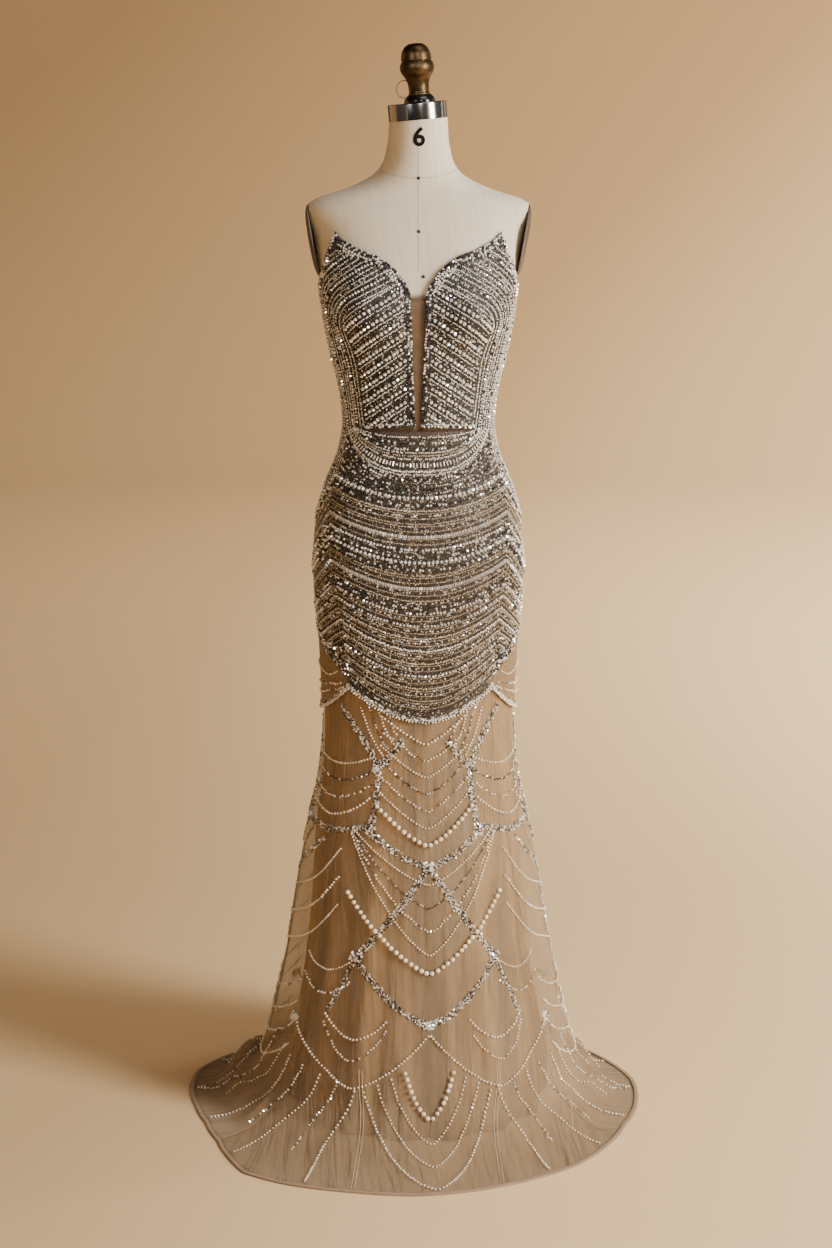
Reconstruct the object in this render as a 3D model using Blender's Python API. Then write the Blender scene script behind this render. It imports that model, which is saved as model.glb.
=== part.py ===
# Strapless beaded evening gown, cut in panels, on a limbless dress form with a pole stand.
# Metres, +Z up. The origin is on the floor under the form, the front faces -Y.
# Angles are turned about Z from the front centre: 0 is the front, 90 the wearer's left (+X), 180 the back.

import math

import bmesh
import bpy
import numpy as np

MM = 0.001
SEAM_GAP = 0.3 * MM

# The cloth's line, from the neck of the form to the floor.
# height, half width, depth in front, depth behind, squareness (2 is an ellipse)
FIGURE = np.array([
    (0.000, 0.2720, 0.2540, 0.2800, 2.0),
    (0.069, 0.2645, 0.2460, 0.2700, 2.0),
    (0.105, 0.2540, 0.2340, 0.2580, 2.0),
    (0.247, 0.2210, 0.1990, 0.2180, 2.0),
    (0.409, 0.1955, 0.1620, 0.1740, 2.0),
    (0.484, 0.1835, 0.1440, 0.1540, 2.0),
    (0.544, 0.1685, 0.1290, 0.1380, 2.1),
    (0.618, 0.1590, 0.1170, 0.1250, 2.1),
    (0.681, 0.1567, 0.1110, 0.1200, 2.1),
    (0.783, 0.1600, 0.1090, 0.1240, 2.2),
    (0.900, 0.1676, 0.1090, 0.1290, 2.2),
    (0.959, 0.1658, 0.1060, 0.1240, 2.2),
    (1.033, 0.1525, 0.0990, 0.1080, 2.2),
    (1.100, 0.1265, 0.0900, 0.0900, 2.2),
    (1.140, 0.1188, 0.0880, 0.0850, 2.2),
    (1.200, 0.1235, 0.0950, 0.0890, 2.2),
    (1.262, 0.1385, 0.1060, 0.0960, 2.3),
    (1.340, 0.1520, 0.1170, 0.1000, 2.4),
    (1.385, 0.1565, 0.1090, 0.0960, 2.4),
    (1.455, 0.1700, 0.0860, 0.0800, 2.3),
    (1.497, 0.1765, 0.0680, 0.0660, 2.0),
    (1.505, 0.1640, 0.0640, 0.0630, 2.0),
    (1.518, 0.1225, 0.0590, 0.0600, 2.0),
    (1.545, 0.0690, 0.0560, 0.0560, 2.0),
    (1.560, 0.0580, 0.0540, 0.0530, 2.0),
    (1.585, 0.0505, 0.0500, 0.0500, 2.0),
    (1.629, 0.0465, 0.0465, 0.0465, 2.0),
])
CUP = {"angle": 36, "height": 1.328, "depth": 0.021, "spread": 19, "above": 0.058, "below": 0.046}

# How far the skirt's cloth lies round to the wearer's left at its front: height, degrees.
SKIRT_TURN = np.array([(0.00, 4.0), (0.40, 6.0), (0.64, 6.0), (1.14, 0.0), (1.64, 0.0)])

# Seam between the front and side panels: height, distance from the centre.
PRINCESS = np.array([(0.60, 0.114), (0.90, 0.114), (1.00, 0.117), (1.135, 0.108),
                     (1.24, 0.113), (1.33, 0.118), (1.40, 0.125), (1.456, 0.1305)])
SIDE_SEAM = 105
WAIST = 1.142

# Sweetheart neckline of a front panel: distance from the centre, height.
NECKLINE = np.array([(0.0000, 1.345), (0.0115, 1.357), (0.0144, 1.368), (0.0226, 1.382), (0.0380, 1.401),
                     (0.0520, 1.412), (0.0648, 1.420), (0.0870, 1.427), (0.1037, 1.435),
                     (0.1215, 1.445), (0.1305, 1.456), (0.1600, 1.480)])
# Top edge from the bust point round to the back: angle, height.
UNDERARM = np.array([(58, 1.500), (63.6, 1.456), (68, 1.416), (72, 1.398), (80, 1.375),
                     (95, 1.362), (120, 1.352), (180, 1.335)])
HIGHEST_EDGE = 1.50
SLIT = {"top": 1.360, "half_top": 0.0127, "half_waist": 0.0040}
INSERT = {"top": 1.363, "half_width": 0.021, "inner": 0.9 * MM, "outer": 1.8 * MM}
BODICE = {"inner": 2.4 * MM, "outer": 4.2 * MM}

# Lower edge of the hip panels: a scallop for each panel between these angles.
SCALLOP = {"corner_height": 0.719, "corner": 56, "front_drop": 0.051, "side_drop": 0.047, "back_drop": 0.051}

TULLE = {"top": 0.752, "floor_level": 0.069, "inner": -0.4 * MM, "outer": 0.6 * MM}
# Shares of the sweep from the falling skirt out over the floor, and where its folds end.
SWEEP = {"swell": 0.3, "drop": 0.25, "reach": 0.45, "folds_end": 0.86}
HEM_BINDING = {"width": 7 * MM, "height": 2.4 * MM, "slope": 1 * MM}
# Outline of the hem on the floor: angle, distance from the pole's axis.
HEM = np.array([(0, 0.457), (12, 0.447), (24, 0.434), (38, 0.421), (50, 0.401), (64, 0.382), (80, 0.377),
                (96, 0.374), (112, 0.360), (124, 0.352), (136, 0.372), (150, 0.415), (165, 0.448),
                (180, 0.462), (195, 0.452), (210, 0.422), (224, 0.378), (236, 0.356), (246, 0.376),
                (257, 0.394), (268, 0.392), (282, 0.384), (294, 0.386), (306, 0.404), (315, 0.432),
                (323, 0.460), (332, 0.462), (346, 0.456), (360, 0.457)])
# Folds of the skirt: angle, half width in degrees, how far one stands out, how far it rises off the floor.
FOLDS = np.array([
    (-25, 4, 0.0030, 0.004),
    (31, 4, 0.0030, 0.004),
    (-53, 7, 0.0060, 0.006),
    (58, 7, 0.0060, 0.008),
    (-80, 8, 0.0070, 0.012),
    (84, 7, 0.0060, 0.010),
    (-106, 8, 0.0100, 0.030),
    (112, 8, 0.0100, 0.028),
    (-132, 8, 0.0090, 0.018),
    (137, 8, 0.0090, 0.018),
    (-157, 9, 0.0110, 0.022),
    (162, 9, 0.0110, 0.020),
    (183, 7, 0.0060, 0.012),
])
FOLD_START, FOLD_FULL = 0.62, 0.10
# Gores of the skirt, in order round it: name, first and last direction, columns of the grid.
GORES = (("skirt_front", -56, 56, 20), ("skirt_side_left", 56, 116, 11), ("skirt_back_left", 116, 180, 12),
         ("skirt_back_right", -180, -116, 12), ("skirt_side_right", -116, -56, 11))
# Gap from the tulle in to the lining: height, gap at the sides, gap in front and behind.
LINING_GAP = np.array([(0.000, 0.058, 0.018), (0.069, 0.056, 0.026), (0.158, 0.046, 0.027),
                       (0.247, 0.040, 0.026), (0.335, 0.034, 0.021), (0.475, 0.017, 0.013),
                       (0.544, 0.009, 0.008), (0.618, 0.004, 0.004), (0.800, 0.003, 0.003)])
LINING = {"hem": 3 * MM, "top": 0.752, "inner": -1.2 * MM, "outer": 0.0}
LINING_PANELS = (("lining_front", -60, 60, 11), ("lining_back_left", 60, 180, 11),
                 ("lining_back_right", -180, -60, 11))
# Hip panels: name, first and last direction, columns of the grid.
HIP_PANELS = (("hip_front", -56, 56, 14), ("hip_side_left", 56, 105, 7), ("hip_side_right", -105, -56, 7),
              ("hip_back_left", 105, 180, 9), ("hip_back_right", -180, -105, 9))
# Points across and up the grids of the bodice's panels.
GRIDS = {"front": (10, 13), "side": (7, 13), "back": (8, 9), "insert": (5, 17)}
HIP_ROWS, FALLING_ROWS, SWEEP_ROWS, LINING_ROWS = 12, 10, 8, 9
SIDE_COLUMN_SPREAD = 1.4  # over 1 sets the columns closer towards the princess seam

# Dress form and stand.
FORM_HEIGHTS = (0.762, 0.83, 0.90, 0.96, 1.01, 1.05, 1.085, 1.115, 1.142, 1.165, 1.19, 1.22, 1.26,
                1.295, 1.328, 1.36, 1.39, 1.42, 1.45, 1.475, 1.489, 1.497, 1.502, 1.509, 1.519,
                1.532, 1.547, 1.565, 1.592, 1.629)
FORM_COLUMNS = 36
NECK_TOP = 1.629
NECK_CUT_START = 1.57
NECK_TILT = math.radians(5)
# Flat at each armhole, which leans in towards the waist, and the plate that closes it.
ARMHOLE = {"foot": 1.3727, "top": 1.497, "half_width_at_top": 0.177, "lean": 0.1736}
ARM_PLATE = {"height": 1.4365, "half_height": 0.058, "half_depth": 0.047, "sides": 24}
# Rings of an arm plate: share of its size, how far out of the form.
ARM_PLATE_RINGS = ((1.0, 0.0), (1.0, 2.4 * MM), (0.88, 5.6 * MM), (0.55, 7.9 * MM))
ARM_PLATE_DOME = 8.5 * MM
CAP = {"radius": 0.0468, "height": 0.026, "bevel": 1.2 * MM}
# Turned profiles: radius, height above the face that the piece stands on.
FLANGE = [(0.0250, 0.0), (0.0250, 0.0030), (0.0232, 0.0070), (0.0188, 0.0115), (0.0178, 0.0125)]
FINIAL = [(0.0158, 0.0), (0.0148, 0.0085), (0.0155, 0.0150), (0.0172, 0.0200), (0.0200, 0.0260),
          (0.0248, 0.0330), (0.0272, 0.0410), (0.0264, 0.0470), (0.0242, 0.0515), (0.0228, 0.0525),
          (0.0242, 0.0535), (0.0240, 0.0580), (0.0226, 0.0655), (0.0186, 0.0730), (0.0120, 0.0780)]
FINIAL_TOP = 0.0798
FINIAL_OFF_CENTRE = 5 * MM
LOOP = {"radius": 0.0135, "wire": 0.0010, "beside": -0.0175, "behind": 0.0145, "sunk": 0.00375}
LOOP_GRID = (20, 6)
POLE_RADIUS = 0.0175
BASE = [(0.165, 0.0), (0.165, 0.010), (0.160, 0.015), (0.150, 0.018), (0.050, 0.026),
        (0.034, 0.032), (0.030, 0.060)]
TURNED_SIDES = 30

COLOURS = {  # red, green, blue, roughness, metallic
    "beaded_bodice": (0.36, 0.34, 0.32, 0.45, 0.3),
    "beaded_hip": (0.38, 0.31, 0.24, 0.5, 0.2),
    "nude_mesh": (0.48, 0.33, 0.22, 0.8, 0.0),
    "tulle": (0.62, 0.53, 0.42, 0.8, 0.0),
    "lining": (0.42, 0.29, 0.17, 0.7, 0.0),
    "binding": (0.45, 0.31, 0.19, 0.8, 0.0),
    "linen": (0.62, 0.59, 0.52, 0.9, 0.0),
    "dark_lacquer": (0.03, 0.025, 0.02, 0.35, 0.0),
    "polished_steel": (0.55, 0.55, 0.56, 0.2, 1.0),
    "old_bronze": (0.22, 0.14, 0.06, 0.4, 1.0),
    "brass": (0.6, 0.42, 0.18, 0.3, 1.0),
    "cast_iron": (0.05, 0.05, 0.05, 0.6, 0.6),
}


def smooth_lookup(table, at):
    """Columns of a table at given values of its first column, joined by smooth curves."""
    key, values = table[:, 0], table[:, 1:]
    at = np.clip(np.asarray(at, float), key[0], key[-1])
    low = np.clip(np.searchsorted(key, at) - 1, 0, len(key) - 2)
    slopes = np.gradient(values, key, axis=0)
    span = key[low + 1] - key[low]
    t = (at - key[low]) / span
    t, span = t[..., None], span[..., None]
    return ((2 * t**3 - 3 * t**2 + 1) * values[low] + (t**3 - 2 * t**2 + t) * span * slopes[low]
            + (3 * t**2 - 2 * t**3) * values[low + 1] + (t**3 - t**2) * span * slopes[low + 1])


def straight_lookup(table, at):
    return np.interp(at, table[:, 0], table[:, 1])


def oval(angle, half_width, front, back, squareness):
    """Distance from the axis to an oval section, in each direction."""
    side, ahead = np.abs(np.sin(angle)), np.cos(angle)
    depth = np.where(ahead > 0, front, back)
    return ((side / half_width) ** squareness + (np.abs(ahead) / depth) ** squareness) ** (-1 / squareness)


def figure_radius(angle, height):
    half_width, front, back, squareness = np.moveaxis(smooth_lookup(FIGURE, height), -1, 0)
    spread = math.radians(CUP["spread"])
    lift = height - CUP["height"]
    tall = np.where(lift > 0, CUP["above"], CUP["below"])
    cups = sum(np.exp(-(((angle - side * math.radians(CUP["angle"])) / spread) ** 2)) for side in (-1, 1))
    cups = cups * np.exp(-((lift / tall) ** 2))
    return oval(angle, half_width, front, back, squareness) + CUP["depth"] * cups


def at_radius(angle, radius, height):
    return np.stack([radius * np.sin(angle), -radius * np.cos(angle), height + 0 * radius], -1)


def figure(angle, height):
    return at_radius(angle, figure_radius(angle, height), height)


def fold_ridges(angle, column):
    """Sum of the fold crests in each direction: column 2 is how far they stand out, 3 how far they rise."""
    total = 0 * angle
    for fold in FOLDS:
        away = np.degrees(angle) - fold[0]
        away = (away + 180) % 360 - 180
        total = total + fold[column] * np.exp(-((away / fold[1]) ** 2))
    return total


def smooth_step(value):
    value = np.clip(value, 0, 1)
    return value * value * (3 - 2 * value)


def skirt(angle, level):
    """The skirt's cloth. Level is the height, and below zero the share of the way out over the floor."""
    height = np.maximum(level, 0) + TULLE["floor_level"]
    folds_out = fold_ridges(angle, 2) * smooth_step((FOLD_START - height) / (FOLD_START - FOLD_FULL))
    falling = figure_radius(angle, height) + folds_out
    out = np.clip(-level, 0, 1)
    hem = straight_lookup(HEM, np.degrees(angle) % 360) - HEM_BINDING["width"] - SEAM_GAP
    # Each direction sweeps out from the fall of the skirt to the hem along one curve that ends level.
    start = TULLE["floor_level"]
    radii = (falling, falling + SWEEP["swell"] * start, falling + SWEEP["reach"] * (hem - falling), hem)
    heights = (start, SWEEP["drop"] * start, 0.0, 0.0)
    weights = ((1 - out) ** 3, 3 * out * (1 - out) ** 2, 3 * out**2 * (1 - out), out**3)
    radius = sum(share * value for share, value in zip(weights, radii))
    lying = sum(share * value for share, value in zip(weights, heights))
    rise = fold_ridges(angle, 3) * np.sin(np.pi * np.clip(out / SWEEP["folds_end"], 0, 1)) ** 2
    return at_radius(angle, radius, np.where(level > 0, height, lying + rise))


def lining(angle, height):
    side_gap, front_gap = np.moveaxis(smooth_lookup(LINING_GAP, height), -1, 0)
    half_width, front, back, squareness = np.moveaxis(smooth_lookup(FIGURE, height), -1, 0)
    radius = oval(angle, half_width - side_gap, front - front_gap, back - front_gap, squareness)
    return at_radius(angle, radius, height)


def moved_out(surface, angle, level, distance):
    """Points of a surface, moved square out of it."""
    step = 1e-4
    across = surface(angle + step, level) - surface(angle - step, level)
    up = surface(angle, level + step) - surface(angle, level - step)
    normal = np.cross(across, up)
    normal /= np.linalg.norm(normal, axis=-1, keepdims=True)
    return surface(angle, level) + distance * normal


def material(name):
    made = bpy.data.materials.get(name)
    if made is None:
        red, green, blue, roughness, metallic = COLOURS[name]
        made = bpy.data.materials.new(name)
        made.use_nodes = True
        shader = made.node_tree.nodes["Principled BSDF"]
        shader.inputs["Base Color"].default_value = (red, green, blue, 1)
        shader.inputs["Roughness"].default_value = roughness
        shader.inputs["Metallic"].default_value = metallic
    return made


def solid(name, points, faces, finish):
    """One closed object from points and faces, with its faces turned outwards."""
    mesh = bpy.data.meshes.new(name)
    mesh.from_pydata([tuple(point) for point in points], [], faces)
    shape = bmesh.new()
    shape.from_mesh(mesh)
    if shape.calc_volume(signed=True) < 0:
        bmesh.ops.reverse_faces(shape, faces=shape.faces)
    shape.to_mesh(mesh)
    shape.free()
    mesh.shade_smooth()
    mesh.set_sharp_from_angle(angle=math.radians(40))
    mesh.materials.append(material(finish))
    made = bpy.data.objects.new(name, mesh)
    bpy.context.scene.collection.objects.link(made)
    return made


def panel(name, surface, angle, level, inner, outer, finish):
    """A cloth panel: a grid of directions and levels on a surface, walled from inner to outer."""
    rows, columns = angle.shape
    faces_out_and_in = [moved_out(surface, angle, level, away) for away in (outer, inner)]
    points = np.concatenate(faces_out_and_in).reshape(-1, 3)
    back = rows * columns
    faces = []
    for row in range(rows - 1):
        for column in range(columns - 1):
            corner = row * columns + column
            square = (corner, corner + 1, corner + columns + 1, corner + columns)
            faces.append(square)
            faces.append(tuple(back + index for index in reversed(square)))
    rim = [column for column in range(columns)]
    rim += [row * columns + columns - 1 for row in range(1, rows)]
    rim += [(rows - 1) * columns + column for column in range(columns - 2, -1, -1)]
    rim += [row * columns for row in range(rows - 2, 0, -1)]
    for here, after in zip(rim, rim[1:] + rim[:1]):
        faces.append((after, here, back + here, back + after))
    return solid(name, points, faces, finish)


def turned(name, profile, base, finish, top=None, beside=0.0, tilt=0.0):
    """A solid of revolution from a profile of radius and height, which can lean with the neck."""
    turns = np.linspace(0, 2 * math.pi, TURNED_SIDES, endpoint=False)
    points = [(beside + radius * math.cos(turn), radius * math.sin(turn), base + height)
              for radius, height in profile for turn in turns]
    faces = [tuple(range(TURNED_SIDES - 1, -1, -1))]
    for ring in range(len(profile) - 1):
        for side in range(TURNED_SIDES):
            after = (side + 1) % TURNED_SIDES
            low = ring * TURNED_SIDES
            faces.append((low + side, low + after, low + TURNED_SIDES + after, low + TURNED_SIDES + side))
    last = (len(profile) - 1) * TURNED_SIDES
    if top is None:
        faces.append(tuple(range(last, last + TURNED_SIDES)))
    else:
        points.append((beside, 0, base + top))
        tip = len(points) - 1
        faces += [(last + side, last + (side + 1) % TURNED_SIDES, tip) for side in range(TURNED_SIDES)]
    return solid(name, leaning(points, tilt), faces, finish)


def leaning(points, tilt):
    """Points leaned towards -X about the middle of the neck's top."""
    points = np.array(points, float)
    x, up = points[:, 0].copy(), points[:, 2] - NECK_TOP
    points[:, 0] = x * math.cos(tilt) - up * math.sin(tilt)
    points[:, 2] = NECK_TOP + x * math.sin(tilt) + up * math.cos(tilt)
    return points


def turn_at(angle, height):
    """The front of the skirt's cloth lies a few degrees round."""
    front = np.where(np.abs(angle) < math.pi / 2, np.cos(angle) ** 2, 0)
    return angle + np.radians(straight_lookup(SKIRT_TURN, height)) * front


def angle_at_x(distance, height):
    """Direction of the point of the figure that is this far to the side, on its front."""
    half_width, front, _, squareness = np.moveaxis(smooth_lookup(FIGURE, height), -1, 0)
    share = np.clip(distance / half_width, 0, 0.999)
    depth = front * (1 - share**squareness) ** (1 / squareness)
    return np.arctan2(distance, depth)


def seam_nudge(angle, height):
    """Half of a seam's gap, as an angle."""
    return 0.5 * SEAM_GAP / figure_radius(angle, height)


def edge_height(edge, place):
    """Height where each column meets the top edge, found by halving."""
    low, high = np.full(place(WAIST).shape, WAIST), np.full(place(WAIST).shape, HIGHEST_EDGE)
    for _ in range(40):
        middle = (low + high) / 2
        below = edge(place(middle)) > middle
        low, high = np.where(below, middle, low), np.where(below, high, middle)
    return low


def rows_up_to(top, count):
    """Heights of a bodice panel's grid, from the waist seam to the top edge of each column."""
    foot = WAIST + 0.5 * SEAM_GAP
    return foot + np.linspace(0, 1, count)[:, None] * (top - foot)


def bodice_front(side, columns, rows):
    across = np.linspace(0, 1, columns)

    def distance(height):
        slit = np.interp(height, (WAIST, SLIT["top"]), (SLIT["half_waist"], SLIT["half_top"]))
        return slit + across * (straight_lookup(PRINCESS, height) - 0.5 * SEAM_GAP - slit)

    top = edge_height(lambda place: straight_lookup(NECKLINE, place), distance)
    height = rows_up_to(top, rows)
    angle = angle_at_x(np.array([distance(line) for line in height]), height)
    return angle * side, height


def bodice_side(side, columns, rows):
    across = np.linspace(0, 1, columns) ** SIDE_COLUMN_SPREAD
    seam = math.radians(SIDE_SEAM)

    def direction(height):
        start = angle_at_x(straight_lookup(PRINCESS, height) + 0.5 * SEAM_GAP, height)
        return start + across * (seam - seam_nudge(seam, height) - start)

    top = edge_height(lambda place: straight_lookup(UNDERARM, np.degrees(place)), direction)
    height = rows_up_to(top, rows)
    return np.array([direction(line) for line in height]) * side, height


def bodice_back(side, columns, rows):
    first, last = math.radians(SIDE_SEAM), math.pi
    across = np.linspace(0, 1, columns)
    nudge = seam_nudge(first, WAIST)
    angle = first + nudge + across * (last - first - 2 * nudge)
    height = rows_up_to(straight_lookup(UNDERARM, np.degrees(angle)), rows)
    return (angle + 0 * height) * side, height


def scallop_height(angle):
    """Lower edge of the hip panels: one scallop in front, one at each side, one behind."""
    degrees = np.abs(np.degrees(angle))
    corner = SCALLOP["corner"]
    middle = np.where(degrees < corner, 0, np.where(degrees < 180 - corner, 90, 180))
    half = np.where(middle == 90, 90 - corner, corner)
    drop = np.where(middle == 0, SCALLOP["front_drop"],
                    np.where(middle == 90, SCALLOP["side_drop"], SCALLOP["back_drop"]))
    return SCALLOP["corner_height"] - drop * (1 - ((degrees - middle) / half) ** 2)


def hip_panel(first, last, columns):
    """A hip panel between two cloth directions, from the waist seam to its scalloped edge."""
    across = np.linspace(0, 1, columns + 1)
    cloth = math.radians(first) + across * math.radians(last - first)
    rows = np.linspace(0, 1, HIP_ROWS)[:, None]
    low, high = scallop_height(cloth), WAIST - 0.5 * SEAM_GAP
    height = low + rows * (high - low)
    angle = cloth + 0 * height
    # The seams beside the front panel follow the princess line, a fixed distance from the centre.
    seam = math.radians(SCALLOP["corner"])
    line = angle_at_x(straight_lookup(PRINCESS, height), height)
    size = np.abs(angle)
    behind = math.radians(SIDE_SEAM)
    inside = size * line / seam
    beside = line + (size - seam) * (behind - line) / (behind - seam)
    size = np.where(size <= seam + 1e-9, inside, np.where(size < behind, beside, size))
    angle = turn_at(np.sign(angle) * size, height)
    nudge = seam_nudge(angle, height)
    return angle + nudge * (1 - 2 * across), height


def skirt_panel(first, last, columns):
    """A gore of the tulle skirt, from under the hip panels to the hem."""
    across = np.linspace(0, 1, columns + 1)
    cloth = math.radians(first) + across * math.radians(last - first)
    falling = np.linspace(1, 0, FALLING_ROWS + 1)[:-1] * (TULLE["top"] - TULLE["floor_level"])
    level = np.concatenate([falling, -np.linspace(0.001, 1, SWEEP_ROWS)])[:, None] + 0 * cloth
    height = np.maximum(level, 0) + TULLE["floor_level"] * (1 - np.clip(-level, 0, 1))
    angle = turn_at(cloth + 0 * level, height)
    nudge = seam_nudge(angle, np.maximum(height, TULLE["floor_level"]))
    return angle + nudge * (1 - 2 * across), level


def lining_panel(first, last, columns):
    angle = np.radians(np.linspace(first, last, columns + 1))
    height = np.linspace(LINING["top"], LINING["hem"], LINING_ROWS)[:, None] + 0 * angle
    nudge = seam_nudge(angle, height)
    return angle + nudge * np.linspace(1, -1, columns + 1), height


def make_bodice():
    for side, hand in ((-1, "right"), (1, "left")):
        for part, shape in (("front", bodice_front), ("side", bodice_side), ("back", bodice_back)):
            angle, height = shape(side, *GRIDS[part])
            name = f"bodice_{part}_{hand}"
            panel(name, figure, angle, height, BODICE["inner"], BODICE["outer"], "beaded_bodice")
    columns, rows = GRIDS["insert"]
    distance = np.linspace(-1, 1, columns) * INSERT["half_width"]
    height = np.linspace(WAIST + 0.5 * SEAM_GAP, INSERT["top"], rows)[:, None] + 0 * distance
    angle = np.sign(distance) * angle_at_x(np.abs(distance) + 0 * height, height)
    panel("plunge_insert", figure, angle, height, INSERT["inner"], INSERT["outer"], "nude_mesh")


def make_hips():
    for name, first, last, columns in HIP_PANELS:
        angle, height = hip_panel(first, last, columns)
        panel(name, figure, angle, height, BODICE["inner"], BODICE["outer"], "beaded_hip")


def make_skirt():
    hem_angles = []
    for name, first, last, columns in GORES:
        angle, level = skirt_panel(first, last, columns)
        panel(name, skirt, angle, level, TULLE["inner"], TULLE["outer"], "tulle")
        middle = turn_at(np.radians(np.linspace(first, last, columns + 1)), 0.0)
        hem_angles.append(middle[:-1])
    return np.concatenate(hem_angles)


def make_lining():
    for name, first, last, columns in LINING_PANELS:
        angle, height = lining_panel(first, last, columns)
        panel(name, lining, angle, height, LINING["inner"], LINING["outer"], "lining")


def make_hem_binding(angles):
    """A bound edge round the whole hem, flat on the floor."""
    outer = straight_lookup(HEM, np.degrees(angles) % 360)
    inner = outer - HEM_BINDING["width"]
    height = HEM_BINDING["height"]
    corners = ((inner, 0.0), (outer, 0.0), (outer - HEM_BINDING["slope"], height), (inner, height))
    points = np.concatenate([at_radius(angles, radius, level + 0 * radius) for radius, level in corners])
    count = len(angles)
    faces = []
    for ring in range(4):
        low, high = ring * count, (ring + 1) % 4 * count
        faces += [(low + step, low + (step + 1) % count, high + (step + 1) % count, high + step)
                  for step in range(count)]
    solid("hem_binding", points, faces, "binding")


def armhole_face(height):
    """Half the form's width at an armhole, where it is cut flat and leans in towards the waist."""
    return ARMHOLE["half_width_at_top"] - (ARMHOLE["top"] - height) * ARMHOLE["lean"]


def make_form():
    """The form's body: rings from its flat bottom to the top of the neck, flat where the arm plates sit."""
    angles = np.linspace(0, 2 * math.pi, FORM_COLUMNS, endpoint=False)
    angles = (angles + math.pi) % (2 * math.pi) - math.pi
    points = []
    for height in FORM_HEIGHTS:
        ring = figure(angles, height)
        if ARMHOLE["foot"] < height < ARMHOLE["top"]:
            ring[:, 0] = np.clip(ring[:, 0], -armhole_face(height), armhole_face(height))
        near_top = smooth_step((height - NECK_CUT_START) / (NECK_TOP - NECK_CUT_START))
        ring[:, 2] += ring[:, 0] * math.tan(NECK_TILT) * near_top
        points.append(ring)
    points = np.concatenate(points)
    faces = [tuple(range(FORM_COLUMNS))]
    for ring in range(len(FORM_HEIGHTS) - 1):
        for step in range(FORM_COLUMNS):
            after = (step + 1) % FORM_COLUMNS
            low, high = ring * FORM_COLUMNS, (ring + 1) * FORM_COLUMNS
            faces.append((low + step, high + step, high + after, low + after))
    last = (len(FORM_HEIGHTS) - 1) * FORM_COLUMNS
    faces.append(tuple(range(last + FORM_COLUMNS - 1, last - 1, -1)))
    solid("form_torso", points, faces, "linen")


def make_arm_plates():
    """Oval plates with domed outer faces, leaning with the sides of the form."""
    count = ARM_PLATE["sides"]
    turns = np.linspace(0, 2 * math.pi, count, endpoint=False)
    for side, hand in ((-1, "right"), (1, "left")):
        points = []
        for share, out in ARM_PLATE_RINGS:
            for turn in turns:
                height = ARM_PLATE["height"] + share * ARM_PLATE["half_height"] * math.cos(turn)
                depth = share * ARM_PLATE["half_depth"] * math.sin(turn)
                points.append((side * (armhole_face(height) + SEAM_GAP + out), depth, height))
        peak = armhole_face(ARM_PLATE["height"]) + SEAM_GAP + ARM_PLATE_DOME
        points.append((side * peak, 0, ARM_PLATE["height"]))
        faces = [tuple(range(count))]
        for ring in range(len(ARM_PLATE_RINGS) - 1):
            low, high = ring * count, (ring + 1) * count
            for step in range(count):
                after = (step + 1) % count
                faces.append((low + step, high + step, high + after, low + after))
        last = (len(ARM_PLATE_RINGS) - 1) * count
        tip = len(points) - 1
        faces += [(last + step, tip, last + (step + 1) % count) for step in range(count)]
        solid(f"arm_plate_{hand}", points, faces, "dark_lacquer")


def make_neck_top():
    """Steel cap, flange and acorn finial, leaning with the neck, and a wire loop behind the finial."""
    bevel, radius, height = CAP["bevel"], CAP["radius"], CAP["height"]
    profile = [(radius, 0), (radius, height - bevel), (radius - bevel, height)]
    base = NECK_TOP + SEAM_GAP
    turned("neck_cap", profile, base, "polished_steel", tilt=NECK_TILT)
    base += height + SEAM_GAP
    turned("finial_flange", FLANGE, base, "dark_lacquer", beside=FINIAL_OFF_CENTRE, tilt=NECK_TILT)
    finial_base = base + FLANGE[-1][1] + SEAM_GAP
    turned("finial", FINIAL, finial_base, "old_bronze", FINIAL_TOP, FINIAL_OFF_CENTRE, NECK_TILT)
    make_hanging_loop(base + FLANGE[-1][1] + LOOP["radius"] - LOOP["sunk"])


def make_hanging_loop(centre):
    around, section = LOOP_GRID
    points, faces = [], []
    for step in range(around):
        turn = 2 * math.pi * step / around
        here, after = step * section, (step + 1) % around * section
        for part in range(section):
            tube = 2 * math.pi * part / section
            reach = LOOP["radius"] + LOOP["wire"] * math.cos(tube)
            depth = LOOP["behind"] + LOOP["wire"] * math.sin(tube)
            points.append((LOOP["beside"] + reach * math.cos(turn), depth, centre + reach * math.sin(turn)))
            beyond = (part + 1) % section
            faces.append((here + part, here + beyond, after + beyond, after + part))
    solid("hanging_loop", leaning(points, NECK_TILT), faces, "brass")


def make_stand():
    turned("stand_base", BASE, 0.0, "cast_iron")
    foot = BASE[-1][1] + SEAM_GAP
    length = FORM_HEIGHTS[0] - SEAM_GAP - foot
    turned("stand_pole", [(POLE_RADIUS, 0), (POLE_RADIUS, length)], foot, "polished_steel")


for leftover in list(bpy.data.objects):
    bpy.data.objects.remove(leftover)
make_bodice()
make_hips()
hem_directions = make_skirt()
make_lining()
make_hem_binding(hem_directions)
make_form()
make_arm_plates()
make_neck_top()
make_stand()
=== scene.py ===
import math

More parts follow.
